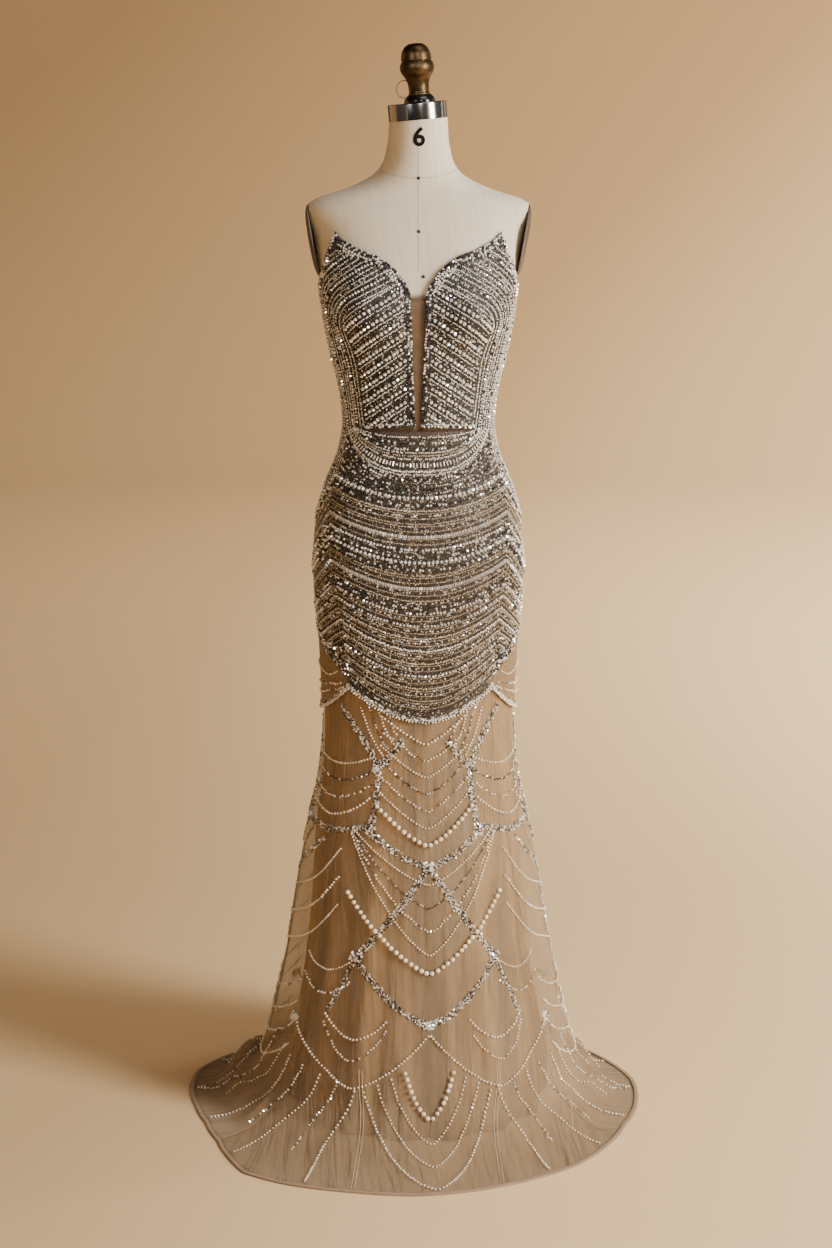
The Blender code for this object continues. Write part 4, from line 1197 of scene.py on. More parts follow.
# The bound hem.
hemStitch = {"columns": 396, "ripple": 0.00012, "ripples": 173, "rippleFrom": 0.0015, "mapRadius": 0.42,
             "profile": [(0.0, 0.15), (0.0, 2.2), (1.2, 2.4), (3.4, 2.35), (5.6, 2.15), (6.9, 1.3),
                         (7.0, 0.5), (6.6, 0.0), (3.4, 0.0), (0.4, 0.0)]}  # out from the inner edge and up, mm


def makeHem():
    profile = np.array(hemStitch["profile"] + hemStitch["profile"][:1]) * mm
    reach = reachAlong(profile)

    def place(around, up):
        angle = (2 * around - 1) * math.pi
        spot = np.round(up * (len(profile) - 1)).astype(int)
        inner = straightLookup(hemLine, np.degrees(angle) % 360) - hemWidth
        out, up = profile[spot].T
        ripple = hemStitch["ripple"] * np.sin(angle * hemStitch["ripples"]) * (up > hemStitch["rippleFrom"])
        points = atRadius(angle, inner + out, up + ripple)
        return points, np.stack([angle * hemStitch["mapRadius"], reach[spot]], -1)

    hem = wrappedGrid("hem_binding_bias", hemStitch["columns"], len(profile) - 1, place)
    return finishPiece(hem, bindingFinish, "hem_binding", 60)


makeForm()
makeSeams()
makePins()
makeSizeMark()
makeArmPlates()
makeNeckTop()
finishStand()
hemBinding = makeHem()
print("form, stand and hem made")


# Bead shapes.
def seedShape():
    # a small glass bead: two four-sided points set foot to foot
    bpy.ops.mesh.primitive_cone_add(vertices=4, radius1=0.56, depth=0.52, end_fill_type="TRIFAN")
    bead = bpy.context.object
    foot = min(bead.data.vertices, key=lambda point: (round(point.co.z, 3), point.co.xy.length))
    for point in bead.data.vertices:
        point.select = point.index == foot.index
    bpy.ops.object.mode_set(mode="EDIT")
    bpy.ops.mesh.select_mode(type="VERT")
    bpy.ops.transform.translate(value=(0, 0, -0.52))
    bpy.ops.mesh.select_all(action="SELECT")
    bpy.ops.transform.translate(value=(0, 0, 0.26))
    bpy.ops.object.mode_set(mode="OBJECT")
    return bead


def crystalShape():
    # a flat-backed stone: a hexagon drawn in to a smaller table on top
    bpy.ops.mesh.primitive_cylinder_add(vertices=6, radius=0.5, depth=0.62, end_fill_type="NGON")
    stone = bpy.context.object
    bpy.ops.object.mode_set(mode="EDIT")
    bpy.ops.mesh.select_mode(type="FACE")
    bpy.ops.mesh.select_all(action="DESELECT")
    bpy.ops.object.mode_set(mode="OBJECT")
    for face in stone.data.polygons:
        face.select = face.normal.z > 0.9
    bpy.ops.object.mode_set(mode="EDIT")
    bpy.ops.transform.resize(value=(0.55, 0.55, 1), center_override=(0, 0, 0))
    bpy.ops.object.mode_set(mode="OBJECT")
    return stone


def pearlShape():
    bpy.ops.mesh.primitive_ico_sphere_add(subdivisions=1, radius=0.52)
    onWholeMesh(lambda: bpy.ops.transform.resize(value=(1.02, 1.0, 0.96)))
    return bpy.context.object


def largePearlShape():
    # the large round pearls of the swags
    bpy.ops.mesh.primitive_uv_sphere_add(segments=10, ring_count=6, radius=0.5)
    onWholeMesh(lambda: bpy.ops.transform.resize(value=(1.03, 1.0, 0.96)))
    return bpy.context.object


def bugleShape():
    # a short glass tube laid across the row
    bpy.ops.mesh.primitive_cylinder_add(vertices=5, radius=0.22, depth=1.5, rotation=(math.radians(90), 0, 0))
    return bpy.context.object


beadShapes = {}
for shapeName, makeShape in (("seed", seedShape), ("crystal", crystalShape), ("pearl", pearlShape),
                             ("largePearl", largePearlShape), ("bugle", bugleShape)):
    deselectAll()
    model = makeShape()
    bakePlace(model)
    beadShapes[shapeName] = (meshPoints(model), [list(face.vertices) for face in model.data.polygons])
    bpy.data.objects.remove(model)


# Threading the beads.
# Each thread of beads: pitch and wander in mm, then the beads on it:
# share, shape, size in mm, darkest and brightest tone.
beadThreads = {
    "silverLine": (3.0, 0.05, [(0.95, "seed", 3.3, 0.84, 1.0), (0.05, "seed", 2.6, 0.0, 0.2)]),
    "champagneLine": (2.9, 0.05, [(0.94, "seed", 3.0, 0.58, 0.76), (0.06, "seed", 2.6, 0.0, 0.2)]),
    "fineGold": (2.4, 0.05, [(0.95, "seed", 2.4, 0.52, 0.74), (0.05, "crystal", 3.0, 0.7, 1.0)]),
    "silverBand": (2.6, 0.05, [(1.0, "bugle", 3.0, 0.45, 0.85)]),
    "darkLine": (3.4, 0.3, [(0.92, "seed", 2.7, 0.0, 0.20), (0.08, "seed", 2.5, 0.6, 1.0)]),
    "goldLine": (2.9, 0.1, [(0.96, "seed", 3.6, 0.62, 0.82), (0.04, "crystal", 3.4, 0.7, 1.0)]),
    "boldLine": (3.0, 0.15, [(1.0, "seed", 4.3, 0.80, 0.98)]),
    "whiteLine": (5.0, 0.1, [(1.0, "pearl", 3.3, 0.5, 1.0)]),
    "grit": (3.5, 0.7, [(0.50, "seed", 2.8, 0.0, 0.30), (0.30, "seed", 2.8, 0.45, 1.0),
                        (0.20, "crystal", 3.3, 0.7, 1.0)]),
    "darkGrit": (3.6, 0.5, [(0.80, "seed", 2.8, 0.0, 0.25), (0.20, "seed", 2.6, 0.5, 1.0)]),
    "crystalRow": (7.3, 0.15, [(1.0, "crystal", 6.2, 0.8, 1.0)]),
    "smallCrystals": (5.4, 0.3, [(0.86, "crystal", 4.5, 0.75, 1.0), (0.14, "crystal", 3.8, 0.0, 0.3)]),
    "gunmetalRow": (4.8, 0.6, [(0.52, "crystal", 4.4, 0.0, 0.30), (0.48, "crystal", 4.3, 0.75, 1.0)]),
    "bugleRow": (5.2, 0.0, [(0.85, "bugle", 4.6, 0.6, 1.0), (0.15, "crystal", 4.6, 0.8, 1.0)]),
    "pearls": (6.1, 0.25, [(0.88, "pearl", 4.2, 0.4, 1.0), (0.12, "crystal", 4.6, 0.8, 1.0)]),
    "finePearls": (5.3, 0.2, [(0.94, "pearl", 3.5, 0.4, 1.0), (0.06, "crystal", 3.8, 0.7, 1.0)]),
    "largePearls": (9.4, 0.1, [(1.0, "largePearl", 7.6, 0.5, 0.9)]),
    "spacedPearls": (7.6, 0.2, [(0.92, "pearl", 4.3, 0.5, 1.0), (0.08, "crystal", 4.4, 0.8, 1.0)]),
    "spacedSeeds": (6.6, 0.2, [(0.95, "pearl", 3.6, 0.5, 1.0), (0.05, "crystal", 4.0, 0.7, 1.0)]),
    "dashes": (5.6, 0.8, [(0.45, "pearl", 3.6, 0.5, 1.0), (0.30, "crystal", 4.2, 0.7, 1.0),
                          (0.25, "seed", 3.2, 0.1, 0.5)]),
    "darkDots": (4.2, 0.7, [(0.6, "crystal", 3.2, 0.0, 0.35), (0.4, "crystal", 3.1, 0.7, 1.0)]),
    "cluster": (0.36, -5.4, [(0.10, "crystal", 3.4, 0.75, 1.0), (0.06, "crystal", 3.0, 0.0, 0.3),
                             (0.40, "seed", 2.5, 0.66, 1.0), (0.44, "seed", 2.5, 0.0, 0.35)]),
    "thinCluster": (0.58, -3.9, [(0.10, "crystal", 3.3, 0.75, 1.0), (0.06, "crystal", 3.0, 0.0, 0.3),
                                 (0.40, "seed", 2.5, 0.66, 1.0), (0.44, "seed", 2.5, 0.0, 0.35)]),
    "sideBand": (0.36, -8.5, [(0.20, "crystal", 3.8, 0.75, 1.0), (0.22, "crystal", 3.8, 0.0, 0.25),
                              (0.14, "seed", 2.7, 0.66, 1.0), (0.44, "seed", 2.8, 0.0, 0.2)]),
    "starCluster": (1.0, -7.5, [(0.50, "crystal", 4.8, 0.75, 1.0), (0.50, "crystal", 3.8, 0.0, 0.9)]),
}  # a wander below zero spreads the beads evenly over a band that wide to each side
beadLift = {"bodice": beadedCloth["outer"], "hip": beadedCloth["outer"], "skirt": tulleCloth["outer"]}
sweepDrop = 0.2  # the whole way out over the floor, as a drop in metres
sewnBeads = {}


def outOverFloor(share):
    return tulleCloth["sweepStart"] - sweepDrop * share


def sweepLevel(drop):
    # a drop as a level of the tulle, and the height there
    start = tulleCloth["sweepStart"]
    level = np.maximum(np.where(drop > start, drop - start, (drop - start) / sweepDrop), -1)
    return level, np.where(level > 0, level + start, start * (1 + level))


def onCloth(degrees, drop):
    level, height = sweepLevel(drop)
    return skirt(turnAt(np.radians(degrees), height), level)


def edgeAbove(degrees, height):
    # height of the bodice's top edge over a place, and how far the place is from the slit
    angle = np.radians(degrees)
    across = np.abs(figureRadius(angle, height) * np.sin(angle))
    inFront = (np.cos(angle) > 0) & (across < straightLookup(princess, height))
    beside = straightLookup(underarm, np.minimum(np.abs(degrees), 180))
    top = np.where(inFront, straightLookup(neckline, across), beside)
    fromSlit = np.where(inFront & (height < slit["top"] + 0.003), across - halfSlit(height), 1.0)
    return top, fromSlit


def sew(zone, kind, degrees, drop, margins=None, wander=None):
    pitch, spread, beads = beadThreads[kind]
    pitch, spread = pitch * mm, (spread if wander is None else wander) * mm
    degrees, drop = np.asarray(degrees, float), np.asarray(drop, float)
    points = onCloth(degrees, drop)
    length = reachAlong(points)
    count = int(length[-1] / pitch)
    if count < 1:
        return
    stops = (np.arange(count) + 0.5 + chance.uniform(-0.10, 0.10, count)) * length[-1] / count
    turn, fall = np.interp(stops, length, degrees), np.interp(stops, length, drop)
    late, early = np.minimum(stops + 2 * mm, length[-1]), np.maximum(stops - 2 * mm, 0)
    ahead = np.stack([np.interp(late, length, points[:, axis]) - np.interp(early, length, points[:, axis])
                      for axis in range(3)], -1)
    keep = np.ones(count, bool)
    if margins:
        top, fromSlit = edgeAbove(turn, fall)
        roof = lensEdges(turn, waist + 0 * turn)[1]
        foot = np.where(np.abs(turn) < waistLens["end"], roof + 1 * mm, waist - 2 * mm)
        keep = (fall < top - margins[0]) & (fromSlit > margins[1]) & (fall > foot)
    draw = chance.random(count)
    side = chance.normal(0, 1, count).clip(-1.6, 1.6) if spread >= 0 else chance.uniform(-1, 1, count)
    side = side * abs(spread)
    grow, shade = chance.uniform(0.9, 1.08, count), chance.random(count)
    low = 0
    for share, shape, size, dark, bright in beads:
        here = keep & (draw >= low) & (draw < low + share)
        low += share
        tone = dark + shade[here] * (bright - dark)
        face = np.where(np.cos(np.radians(turn[here])) > 0, 1, -1)
        row = np.column_stack([turn[here], fall[here], ahead[here], side[here], size * mm * grow[here],
                               tone, face])
        sewnBeads.setdefault((zone, shape), []).append(row)


def sewAround(zone, kind, degrees, drop, **more):
    # the pattern repeats in mirror image to the left and right and again behind
    degrees = np.asarray(degrees, float)
    for turned in (degrees, -degrees, 180 - degrees, degrees - 180):
        sew(zone, kind, turned, drop, **more)


def smoothThread(points, steps=60):
    # a smooth curve through given places
    points = np.array(points, float)
    reach = reachAlong(points * (0.0024, 1))  # degrees weighed against metres
    along = smoothLookup(np.column_stack([reach, points]), np.linspace(0, reach[-1], steps))
    return along[:, 0], along[:, 1]


def halfSwag(corner, endDrop, lowDrop, power, start=0.0, steps=70):
    degrees = np.linspace(start, corner, steps)
    return degrees, lowDrop + (endDrop - lowDrop) * ((degrees - start) / (corner - start)) ** power


# The bodice's beading.
bodiceBeading = {"rowFirst": 1.157, "period": 0.0226, "rowSlope": 0.62, "rowBend": 1.1,
                 "rowMargins": (0.0165, 0.0098), "archFirst": 1.400, "archLast": 1.530, "archLines": 26,
                 "archBend": 0.026, "archReach": 0.118, "archMargins": (0.0160, 0.0105), "sideEnd": 91,
                 "cornerGuess": 1.33, "cornerRounds": 12, "neckEnd": 0.1295, "borderUnderarm": (64, 180)}
# The threads of one period of rows: how far below its stones each lies.
bodiceRows = [(0.0, "crystalRow"), (0.0050, "darkLine"), (0.0084, "silverLine"), (0.0117, "darkLine"),
              (0.0150, "grit"), (0.0182, "darkLine")]
archKinds = ("silverLine", "darkGrit", "silverLine", "darkLine", "smallCrystals", "darkGrit", "silverLine",
             "grit")
# Where the rows end beside the princess line: height, distance from the centre.
rowsEnd = np.array([(1.10, 0.078), (1.15, 0.083), (1.25, 0.095), (1.33, 0.112), (1.40, 0.120), (1.50, 0.130)])
# The border of the top edge and the slit, each line with its distance in from the edge.
borderLines = [(0.0018, "gunmetalRow"), (0.0058, "gunmetalRow"), (0.0098, "smallCrystals"),
               (0.0136, "gunmetalRow")]
# Lines along the lens at the waist, each with its height above the lens.
waistLines = [(1.8 * mm, "gunmetalRow"), (5.0 * mm, "silverLine")]


def rowFall(across):
    return bodiceBeading["rowSlope"] * across + bodiceBeading["rowBend"] * across**2


def archThread(share):
    # up the side, round a soft bend and on up to the neckline, as a direction and a height
    reach = bodiceBeading["archReach"]
    start = bodiceBeading["archFirst"] + share * (bodiceBeading["archLast"] - bodiceBeading["archFirst"])

    def upright(height):
        inner = angleAtX(straightLookup(rowsEnd, height) + 0.002, height)
        return reach * (inner + share * (math.radians(bodiceBeading["sideEnd"]) - inner))

    corner = bodiceBeading["cornerGuess"]
    for _ in range(bodiceBeading["cornerRounds"]):
        corner = start - rowFall(float(upright(np.array(corner))))
    turned = float(upright(np.array(corner)))
    bend = bodiceBeading["archBend"]
    below = np.linspace(waist - 2 * mm, corner - bend, 50)
    foot = np.array([float(upright(np.array(corner - bend))), corner - bend])
    head = np.array([turned - bend, start - rowFall(turned - bend)])
    step = np.linspace(0, 1, 16)[1:, None]
    rounded = (1 - step) ** 2 * foot + 2 * step * (1 - step) * np.array([turned, corner]) + step**2 * head
    onward = np.linspace(turned - bend, 0.008, 40)[1:]
    arc = np.concatenate([upright(below), rounded[:, 0], onward])
    return np.degrees(arc / reach), np.concatenate([below, rounded[:, 1], start - rowFall(onward)])


def beadBodice():
    # slanting rows that fall away from the slit
    across = np.linspace(0.005, 0.130, 60)
    count = int((bodiceBeading["archFirst"] - bodiceBeading["rowFirst"]) / bodiceBeading["period"]) + 2
    for row in range(count):
        for below, kind in bodiceRows:
            start = bodiceBeading["rowFirst"] + row * bodiceBeading["period"] - below
            height = start - rowFall(across)
            inside = (across < straightLookup(rowsEnd, height) - 1 * mm) & (height > waist - 0.005)
            if inside.sum() < 4 or start > bodiceBeading["archFirst"] - 2 * mm:
                continue
            degrees = np.degrees(angleAtX(across[inside], height[inside]))
            sewAround("bodice", kind, degrees, height[inside], margins=bodiceBeading["rowMargins"])
    # lines that climb the side's contour and bend over to the neckline
    for line in range(bodiceBeading["archLines"]):
        degrees, height = archThread((line + 0.2) / bodiceBeading["archLines"])
        sewAround("bodice", archKinds[line % len(archKinds)], degrees, height,
                  margins=bodiceBeading["archMargins"])


def beadBorder():
    # a thick border of stones round the top edge, and a narrow one down the slit
    slitZ = np.linspace(waist + 6 * mm, slit["top"], 40)
    neckX = np.linspace(slit["halfTop"] + 1 * mm, bodiceBeading["neckEnd"], 50)
    for inset, kind in borderLines:
        edge = np.column_stack([np.concatenate([halfSlit(slitZ), neckX]),
                                np.concatenate([slitZ, straightLookup(neckline, neckX)])])
        slope = np.gradient(edge, axis=0)
        slope /= np.linalg.norm(slope, axis=1, keepdims=True)
        edge = edge + inset * np.column_stack([slope[:, 1], -slope[:, 0]])
        inside = edge[:, 0] < straightLookup(princess, edge[:, 1]) - 1 * mm
        if inset > 8 * mm:
            inside &= edge[:, 1] > slit["top"] - 2 * mm
        degrees = np.degrees(angleAtX(edge[inside, 0], edge[inside, 1]))
        sideways = np.linspace(*bodiceBeading["borderUnderarm"], 120)
        for side in (1, -1):
            sew("bodice", kind, side * degrees, edge[inside, 1])
            sew("bodice", kind, side * sideways, straightLookup(underarm, sideways) - inset)


def beadWaist():
    # lines of beads along the lens at the waist
    along = np.linspace(2.5, waistLens["end"], 40)
    for rise, kind in waistLines:
        height = lensEdges(along, waist + 0 * along)[1] + rise
        for side in (1, -1):
            sew("bodice", kind, side * along, height)


# The hips' beading.
# Two nests of swags across the front, from the waist down, in even steps. Of the first and the last swag:
# corner and height there, height at the centre, roundness, depth of the swag that runs on round the side.
# Then the thread of each swag and what fills the room below it.
hipNests = [
    {"first": (56, 1.141, 1.132, 3.0, 0), "last": (71, 1.140, 1.072, 3.2, 0),
     "threads": [("silverLine", None), ("darkGrit", None), ("gunmetalRow", None), ("darkLine", None),
                 ("gunmetalRow", None), ("silverLine", None), ("champagneLine", None), ("silverLine", None),
                 ("darkLine", None), ("bugleRow", None), ("darkLine", None), ("boldLine", None),
                 ("silverLine", "black")]},
    {"first": (72, 1.065, 1.035, 2.2, 0.072), "last": (54, 0.738, 0.684, 2.1, 0.036),
     "threads": [("crystalRow", "black"), ("goldLine", "fine"), ("champagneLine", "dark"),
                 ("silverBand", "dark"), ("smallCrystals", "black"), ("crystalRow", "black"),
                 ("champagneLine", "dark"), ("silverBand", "fine"), ("champagneLine", "black"),
                 ("smallCrystals", "fine"), ("smallCrystals", "fine"), ("goldLine", "fine"),
                 ("boldLine", "fine"), ("goldLine", "fine"), ("smallCrystals", "fine"), ("goldLine", "fine"),
                 ("champagneLine", "fine"), ("grit", None)]},
]
hipFilling = 0.0038  # distance from one filling thread to the next
hipFillings = {"fine": ("fineGold", "fineGold", "grit", "fineGold", "darkLine"),
               "dark": ("darkLine", "fineGold", "darkGrit", "fineGold"),
               "black": ("darkLine", "grit", "darkGrit", "gunmetalRow", "darkGrit", "grit")}


sideRoundness = 1.35  # of the swags that run on round the side
# Below the dense band at each side: a line through these places, then swags as corner, height there
# and height at the side.
sideLine = [(62, 0.747), (70, 0.738), (80, 0.744), (90, 0.752)]
sideSwags = [(60, 0.728, 0.716), (58, 0.722, 0.700)]
# The trim of the scalloped edge: height above it, thread, wander.
hipTrim = [(0.0015, "finePearls", 0.5), (0.0048, "boldLine", 0.5), (0.0080, "thinCluster", 1.2)]
firstSideArch = 14  # the first of the bodice's upright lines that runs on over the hip


def hipRow(corner, endDrop, lowDrop, power, sideDepth, kind):
    degrees, drop = halfSwag(corner, endDrop, lowDrop, power)
    sewAround("hip", kind, degrees, drop)
    if sideDepth > 0:
        # round the side it falls again, down to the dense band
        degrees, drop = halfSwag(corner, endDrop, endDrop - sideDepth, sideRoundness, start=90.0)
        above = drop > straightLookup(np.array(sideBand), degrees) + 7 * mm
        if above.sum() > 3:
            sewAround("hip", kind, degrees[above], drop[above])


def hipSwags():
    rows = []
    for nest in hipNests:
        first, last = np.array(nest["first"]), np.array(nest["last"])
        steps = len(nest["threads"]) - 1
        rows += [(first + (last - first) * step / steps, kind, filling)
                 for step, (kind, filling) in enumerate(nest["threads"])]
    return rows


def beadHips():
    swags = hipSwags()
    for (here, kind, filling), (after, _, _) in zip(swags, swags[1:] + swags[-1:]):
        hipRow(*here, kind)
        if filling is None:
            continue
        gap = 0.5 * (abs(here[1] - after[1]) + abs(here[2] - after[2]))
        count = int(gap / hipFilling)
        rows = hipFillings[filling]
        sides = (1, 1, 1, 1, 1 if min(here[4], after[4]) > 0 else 0)
        for step in range(1, count):
            hipRow(*((here + (after - here) * step / count) * sides), rows[step % len(rows)])
    # a dense band runs up round each side, over bare mesh
    degrees, height = smoothThread([(turn, level - 2 * mm) for turn, level in sideBand])
    sewAround("hip", "sideBand", degrees, height)
    degrees, height = smoothThread(sideLine)
    sewAround("hip", "whiteLine", degrees, height)
    for corner, endDrop, lowDrop in sideSwags:
        degrees, height = halfSwag(corner, endDrop, lowDrop, 1.6, start=90.0)
        sewAround("hip", "dashes", degrees, height)
    # round the sides the bodice's upright lines run on down to the first swag
    corner, endDrop, _, _, sideDepth = hipNests[1]["first"]
    for line in range(firstSideArch, bodiceBeading["archLines"]):
        turn = float(archThread((line + 0.2) / bodiceBeading["archLines"])[0][0])
        foot = endDrop - sideDepth * (1 - min(1, (90 - turn) / (90 - corner)) ** sideRoundness)
        height = np.linspace(waist - 3 * mm, foot, 30)
        sewAround("hip", archKinds[line % len(archKinds)], turn + 0 * height, height)
    # the scalloped edge is trimmed with a thick band of white beads
    cloth = np.radians(np.linspace(-180, 180, 721))
    edge = scallopHeight(cloth)
    inFront = np.where(np.abs(cloth) < math.pi / 2, np.cos(cloth) ** 2, 0)
    direction = np.degrees(hipDirection(cloth, edge) - np.radians(straightLookup(skirtTurn, edge)) * inFront)
    for rise, kind, wander in hipTrim:
        sew("hip", kind, direction, edge + rise, wander=wander)


# The skirt's beading.
# A net of columns and tiers over a quarter of the skirt, which mirrors left, right and behind.
skirtNet = {"columns": (0, 35, 62, 90), "top": 0.69, "tier": 0.10}
# Nests of swags: direction of the lowest place, corners, height there, depth, roundness, step down from one
# to the next, growth in depth, threads.
skirtNests = [
    (0, (34,), 0.680, 0.046, 1.3, 0.024, 0.003,
     ("pearls", "dashes", "whiteLine", "darkDots", "dashes", "finePearls", "largePearls")),
    (61, (37, 85), 0.612, 0.018, 1.8, 0.022, 0.006, ("finePearls", "darkDots", "dashes", "pearls")),
    (0, (46,), 0.495, 0.085, 1.3, 0.003, 0.034, ("whiteLine", "darkDots", "dashes", "finePearls")),
    (0, (44,), 0.395, 0.125, 1.3, 0.0, 0.0, ("largePearls",)),
    (32, (18, 46), 0.195, 0.035, 1.8, 0.014, 0.020, ("pearls", "dashes")),
    (48, (36, 60), 0.285, 0.022, 1.8, 0.034, 0.004, ("finePearls", "dashes")),
    (30, (0, 61), 0.175, 0.090, 1.5, 0.0, 0.0, ("pearls",)),
    (80, (61, 99), 0.235, 0.030, 1.6, 0.036, 0.004, ("dashes", "finePearls", "dashes", "pearls")),
]
# Fans of lines: places as direction and height, steps in both from one line to the next, threads.
skirtFans = [
    ([(48, 0.692), (39, 0.640), (31, 0.612)], (-5, 0.005),
     ("finePearls", "darkDots", "finePearls", "dashes")),
    ([(50, 0.460), (63, 0.405), (90, 0.365)], (-1.5, -0.045), ("whiteLine", "pearls", "whiteLine")),
    ([(84, 0.560), (79, 0.500), (90, 0.440)], (-5, 0.035), ("darkDots", "grit")),
]
# Thick lines of stones from knot to knot of the net: column and tier each.
skirtBands = [
    ("cluster", [(2, 0), (1, 1), (1, 2)]), ("cluster", [(0.5, 0.5), (1, 1)]), ("cluster", [(0, 2.5), (1, 4)]),
    ("thinCluster", [(2, 2.2), (3, 3)]), ("thinCluster", [(3, 0.3), (2.9, 1), (3, 2)]),
    ("thinCluster", [(3, 3), (2.8, 3.7), (3, 4.4), (2.7, 5.5)]), ("thinCluster", [(1, 4), (1.4, 5)]),
]
skirtBandSwags = [(0, (35,), 0.49, 0.05), (61, (35, 87), 0.50, 0.015), (0, (35,), 0.29, 0.10)]
skirtStars = [(1, 1), (1, 2), (0, 2.5), (1, 4), (0, 5), (2, 5.2)]
# Petals about the centre and lines out over the sweep, in even steps. The share is of the way out.
sweepPetals = {"corner": 10, "cornerStep": 5, "height": 0.118, "heightStep": -0.011, "share": 0.18,
               "shareStep": 0.265, "roundness": 1.3,
               "threads": ("largePearls", "spacedSeeds", "spacedSeeds", "spacedPearls")}
sweepFan = {"start": 28, "startStep": 7.5, "height": 0.085, "heightStep": 0.007, "end": 27, "endStep": 10.5,
            "bow": 3, "share": 0.97, "short": 0.30,
            "threads": ("spacedPearls", "dashes", "spacedSeeds", "dashes", "pearls", "spacedSeeds", "dashes")}


def levelled(places):
    return [(turn, level if level > 0 else outOverFloor(-level)) for turn, level in places]


def knot(column, tier):
    return np.interp(column, range(4), skirtNet["columns"]), skirtNet["top"] - tier * skirtNet["tier"]


def beadSkirt():
    for lowest, corners, height, depth, roundness, step, growth, kinds in skirtNests:
        for number, kind in enumerate(kinds):
            end = height - number * step
            for corner in corners:
                low = end - depth - number * growth
                sewAround("skirt", kind, *halfSwag(corner, end, low, roundness, start=lowest))
    for places, (turnStep, heightStep), kinds in skirtFans:
        for number, kind in enumerate(kinds):
            line = [(turn + number * turnStep, height + number * heightStep) for turn, height in places]
            sewAround("skirt", kind, *smoothThread(line))
    for kind, knots in skirtBands:
        sewAround("skirt", kind, *smoothThread([knot(*place) for place in knots]))
    for lowest, corners, height, depth in skirtBandSwags:
        for corner in corners:
            sewAround("skirt", "cluster", *halfSwag(corner, height, height - depth, 1.5, start=lowest))
    for turn, drop in (knot(*place) for place in skirtStars):
        sewAround("skirt", "starCluster", [turn - 3, turn + 3], [drop, drop])


def beadSweep():
    for number, kind in enumerate(sweepPetals["threads"]):
        corner = sweepPetals["corner"] + number * sweepPetals["cornerStep"]
        height = sweepPetals["height"] + number * sweepPetals["heightStep"]
        tip = outOverFloor(sweepPetals["share"] + number * sweepPetals["shareStep"])
        sewAround("skirt", kind, *halfSwag(corner, height, tip, sweepPetals["roundness"]))
    for number, kind in enumerate(sweepFan["threads"]):
        start = sweepFan["start"] + number * sweepFan["startStep"]
        end = sweepFan["end"] + number * sweepFan["endStep"]
        height = sweepFan["height"] + number * sweepFan["heightStep"]
        share = sweepFan["share"] - sweepFan["short"] * (number % 2)
        middle = (start + end) / 2 + sweepFan["bow"]
        line = levelled([(start, height), (middle, -share / 2), (end, -share)])
        sewAround("skirt", kind, *smoothThread(line))


# The skirt's gore seams, each straight between its two ends.
# Each has the directions and levels of its ends, and its number of threads.
goreSeams = {"apart": 5.0 * mm, "radius": 0.4 * mm, "proud": 0.7 * mm,
             "lines": [((-27, 0.115), (-17, -0.985), 2), ((30, 0.115), (14, -0.985), 2),
                       ((61, -0.30), (38, -0.985), 1)]}


def makeGoreSeams():
    threads = []
    for first, last, count in goreSeams["lines"]:
        degrees, drop = smoothThread(levelled([first, last]), 120)
        level, height = sweepLevel(drop)
        for behind in (0, math.pi):
            for side in (-0.5, 0.5)[:count]:
                angle = turnAt(np.radians(degrees), height) + behind
                spots = skirt(angle, level)
                angle = angle + side * goreSeams["apart"] / np.hypot(spots[:, 0], spots[:, 1])
                line = movedOut(skirt, angle, level, goreSeams["proud"])
                threads.append(threadTube("gore_thread", line, goreSeams["radius"]))
    return finishPiece(joinPieces(threads, "skirt_seam_threads"), brushed["seamSilk"])


# Bead finishes.
def tonedMaterial(name, tones, metallic, roughness, coat):
    made, nodes, links, shader = newMaterial(name, tones[-1][1], roughness, metallic)
    tint = addNode(nodes, "ShaderNodeAttribute", attribute_type="GEOMETRY", attribute_name="tint")
    tone = addRamp(nodes, tones)
    links.new(tint.outputs["Fac"], tone.inputs["Fac"])
    links.new(tone.outputs["Color"], shader.inputs["Base Color"])
    shader.inputs["Coat Weight"].default_value = coat
    shader.inputs["Coat Roughness"].default_value = 0.08
    return made


beadFinishes = {
    "seed": tonedMaterial("glassSeeds", [
        (0.0, (0.004, 0.004, 0.004)), (0.30, (0.024, 0.018, 0.013)), (0.6, (0.54, 0.42, 0.27)),
        (0.75, (0.70, 0.61, 0.47)), (0.86, (0.90, 0.87, 0.81)), (1.0, (1.0, 0.99, 0.96))], 0.42, 0.24, 0.3),
    "crystal": tonedMaterial("cutCrystal", [
        (0.0, (0.015, 0.015, 0.016)), (0.4, (0.09, 0.09, 0.095)), (0.7, (0.92, 0.91, 0.90)),
        (1.0, (1.0, 1.0, 1.0))], 0.45, 0.10, 1.0),
    "pearl": tonedMaterial("pearlLustre", [
        (0.0, (0.46, 0.37, 0.25)), (0.6, (0.82, 0.71, 0.54)), (1.0, (1.0, 0.93, 0.80))], 0.0, 0.20, 0.6),
    "bugle": tonedMaterial("silverBugles", [
        (0.0, (0.05, 0.05, 0.05)), (0.6, (0.8, 0.79, 0.77)), (1.0, (1.0, 1.0, 0.98))], 0.40, 0.25, 0.8),
}
beadFinishes["largePearl"] = beadFinishes["pearl"]


beadNames = {"seed": "seeds", "crystal": "crystals", "pearl": "pearls", "largePearl": "large_pearls",
             "bugle": "bugles"}
# How far a bead leans, and how high its middle sits in its own sizes.
beadLean = {"crystal": 0.28, "seed": 0.25, "bugle": 0.16, "pearl": 0.0, "largePearl": 0.0}
beadHeight = {"crystal": 0.30, "seed": 0.42, "bugle": 0.22, "pearl": 0.46, "largePearl": 0.46}
probe = {"turn": 0.05, "rise": 1e-4}  # steps to either side that give the cloth's slope


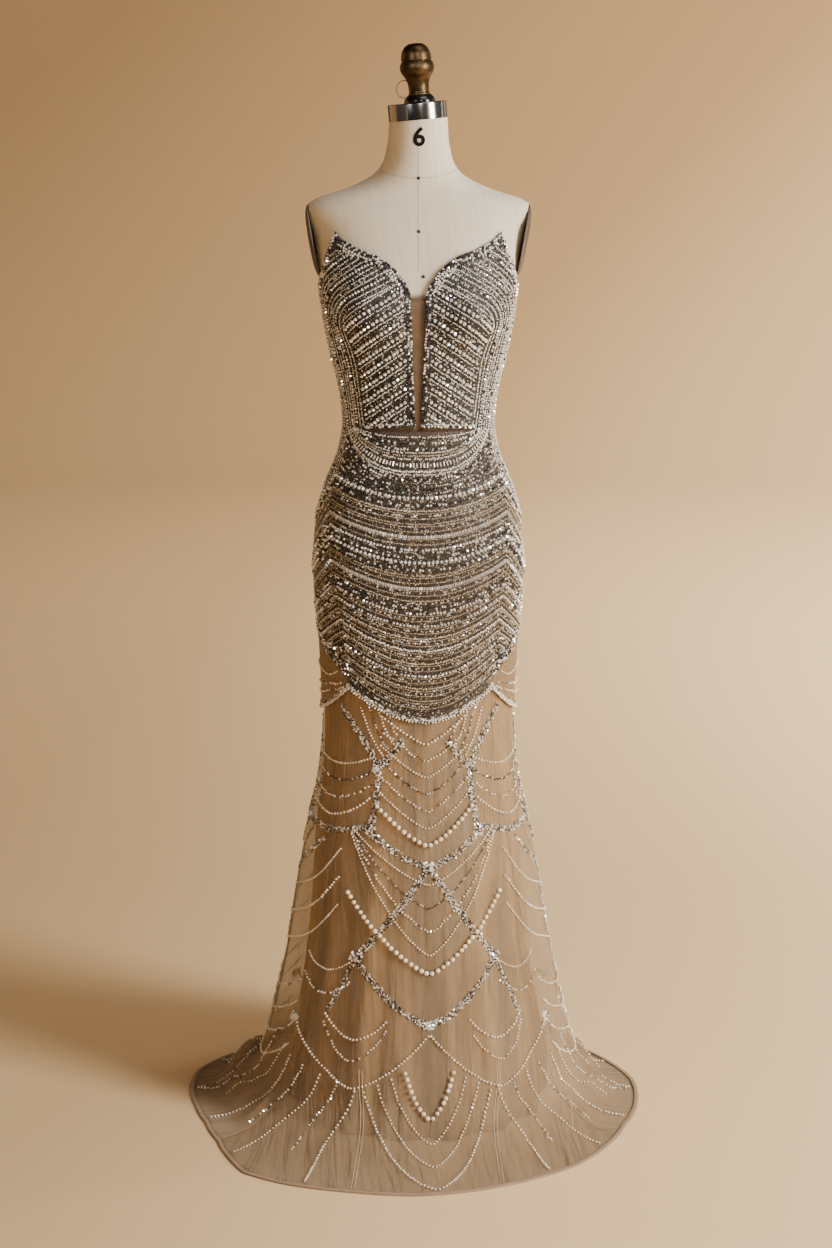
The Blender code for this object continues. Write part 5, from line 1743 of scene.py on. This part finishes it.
def joinBeads(name, shape, rows, lift):
    points, faces = beadShapes[shape]
    turn, fall, side, size, tone = rows[:, 0], rows[:, 1], rows[:, 5], rows[:, 6], rows[:, 7]
    heading = rows[:, 2:5]
    here = onCloth(turn, fall)
    across = onCloth(turn + probe["turn"], fall) - onCloth(turn - probe["turn"], fall)
    up = onCloth(turn, fall + probe["rise"]) - onCloth(turn, fall - probe["rise"])
    outward = np.cross(across, up)
    outward /= np.linalg.norm(outward, axis=1, keepdims=True)
    # stones are sewn a little unevenly, so each catches the light its own way
    facing = outward + beadLean[shape] * chance.normal(0, 1, outward.shape).clip(-1.5, 1.5)
    facing /= np.linalg.norm(facing, axis=1, keepdims=True)
    along = heading - (heading * facing).sum(1, keepdims=True) * facing
    along /= np.linalg.norm(along, axis=1, keepdims=True) + 1e-12
    aside = np.cross(facing, along)
    rise = (lift + beadHeight[shape] * size)[:, None]
    centre = here + outward * rise + np.cross(outward, along) * side[:, None]
    ways = enumerate((along, aside, facing))
    turned = sum(points[None, :, axis, None] * way[:, None] for axis, way in ways)
    placed = centre[:, None] + turned * size[:, None, None]
    count, each = placed.shape[:2]
    mesh = bpy.data.meshes.new(name)
    mesh.vertices.add(count * each)
    mesh.vertices.foreach_set("co", placed.astype(np.float32).ravel())
    sizes = np.array([len(face) for face in faces])
    loops = np.concatenate([np.array(face) for face in faces])
    mesh.loops.add(count * len(loops))
    number = np.arange(count)[:, None]
    mesh.loops.foreach_set("vertex_index", (loops[None] + each * number).ravel().astype(np.int32))
    starts = np.concatenate([[0], np.cumsum(sizes)[:-1]])
    mesh.polygons.add(count * len(faces))
    mesh.polygons.foreach_set("loop_start", (starts[None] + len(loops) * number).ravel().astype(np.int32))
    mesh.update(calc_edges=True)
    tint = mesh.attributes.new("tint", "FLOAT", "POINT")
    tint.data.foreach_set("value", np.repeat(tone, each).astype(np.float32))
    if shape in ("seed", "pearl", "largePearl"):
        mesh.shade_smooth()
    else:
        mesh.shade_flat()
    mesh.materials.append(beadFinishes[shape])
    piece = bpy.data.objects.new(name, mesh)
    bpy.context.scene.collection.objects.link(piece)
    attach(piece, "root")
    triangles = int((sizes - 2).sum()) * count
    print(f"  {name}: {count} beads, {triangles} triangles")
    return piece, triangles


def makeBeads():
    total = 0
    sewn = {}
    for (zone, shape), parts in sorted(sewnBeads.items()):
        rows = np.concatenate(parts)
        for half, side in (("front", 1), ("back", -1)):
            chosen = rows[rows[:, 8] == side]
            if not len(chosen):
                continue
            name = f"{zone}_{half}_{beadNames[shape]}"
            piece, triangles = joinBeads(name, shape, chosen, beadLift[zone])
            total += triangles
            sewn.setdefault(zone, []).append(piece)
    print("beads:", total, "triangles")
    return sewn


beadBodice()
beadBorder()
beadWaist()
beadHips()
beadSkirt()
beadSweep()
print("patterns threaded")
sewnPieces = makeBeads()
seamThreads = makeGoreSeams()
print("beads sewn on")


def declareSheets():
    # gathers for each panel the beads, seams and hem that are sewn to it, and does nothing more with them
    halves = {"front": ("_front_",), "back": ("_back_",), "side": ("_front_", "_back_")}
    for piece, facts in sheets:
        zone, part = piece.name.split("_")[:2]
        extra = [sewn for sewn in sewnPieces.get(zone, [])
                 if any(half in sewn.name for half in halves.get(part, ()))]
        if zone == "skirt":
            extra += [seamThreads, hemBinding]


declareSheets()
print("sheets declared:", len(sheets))
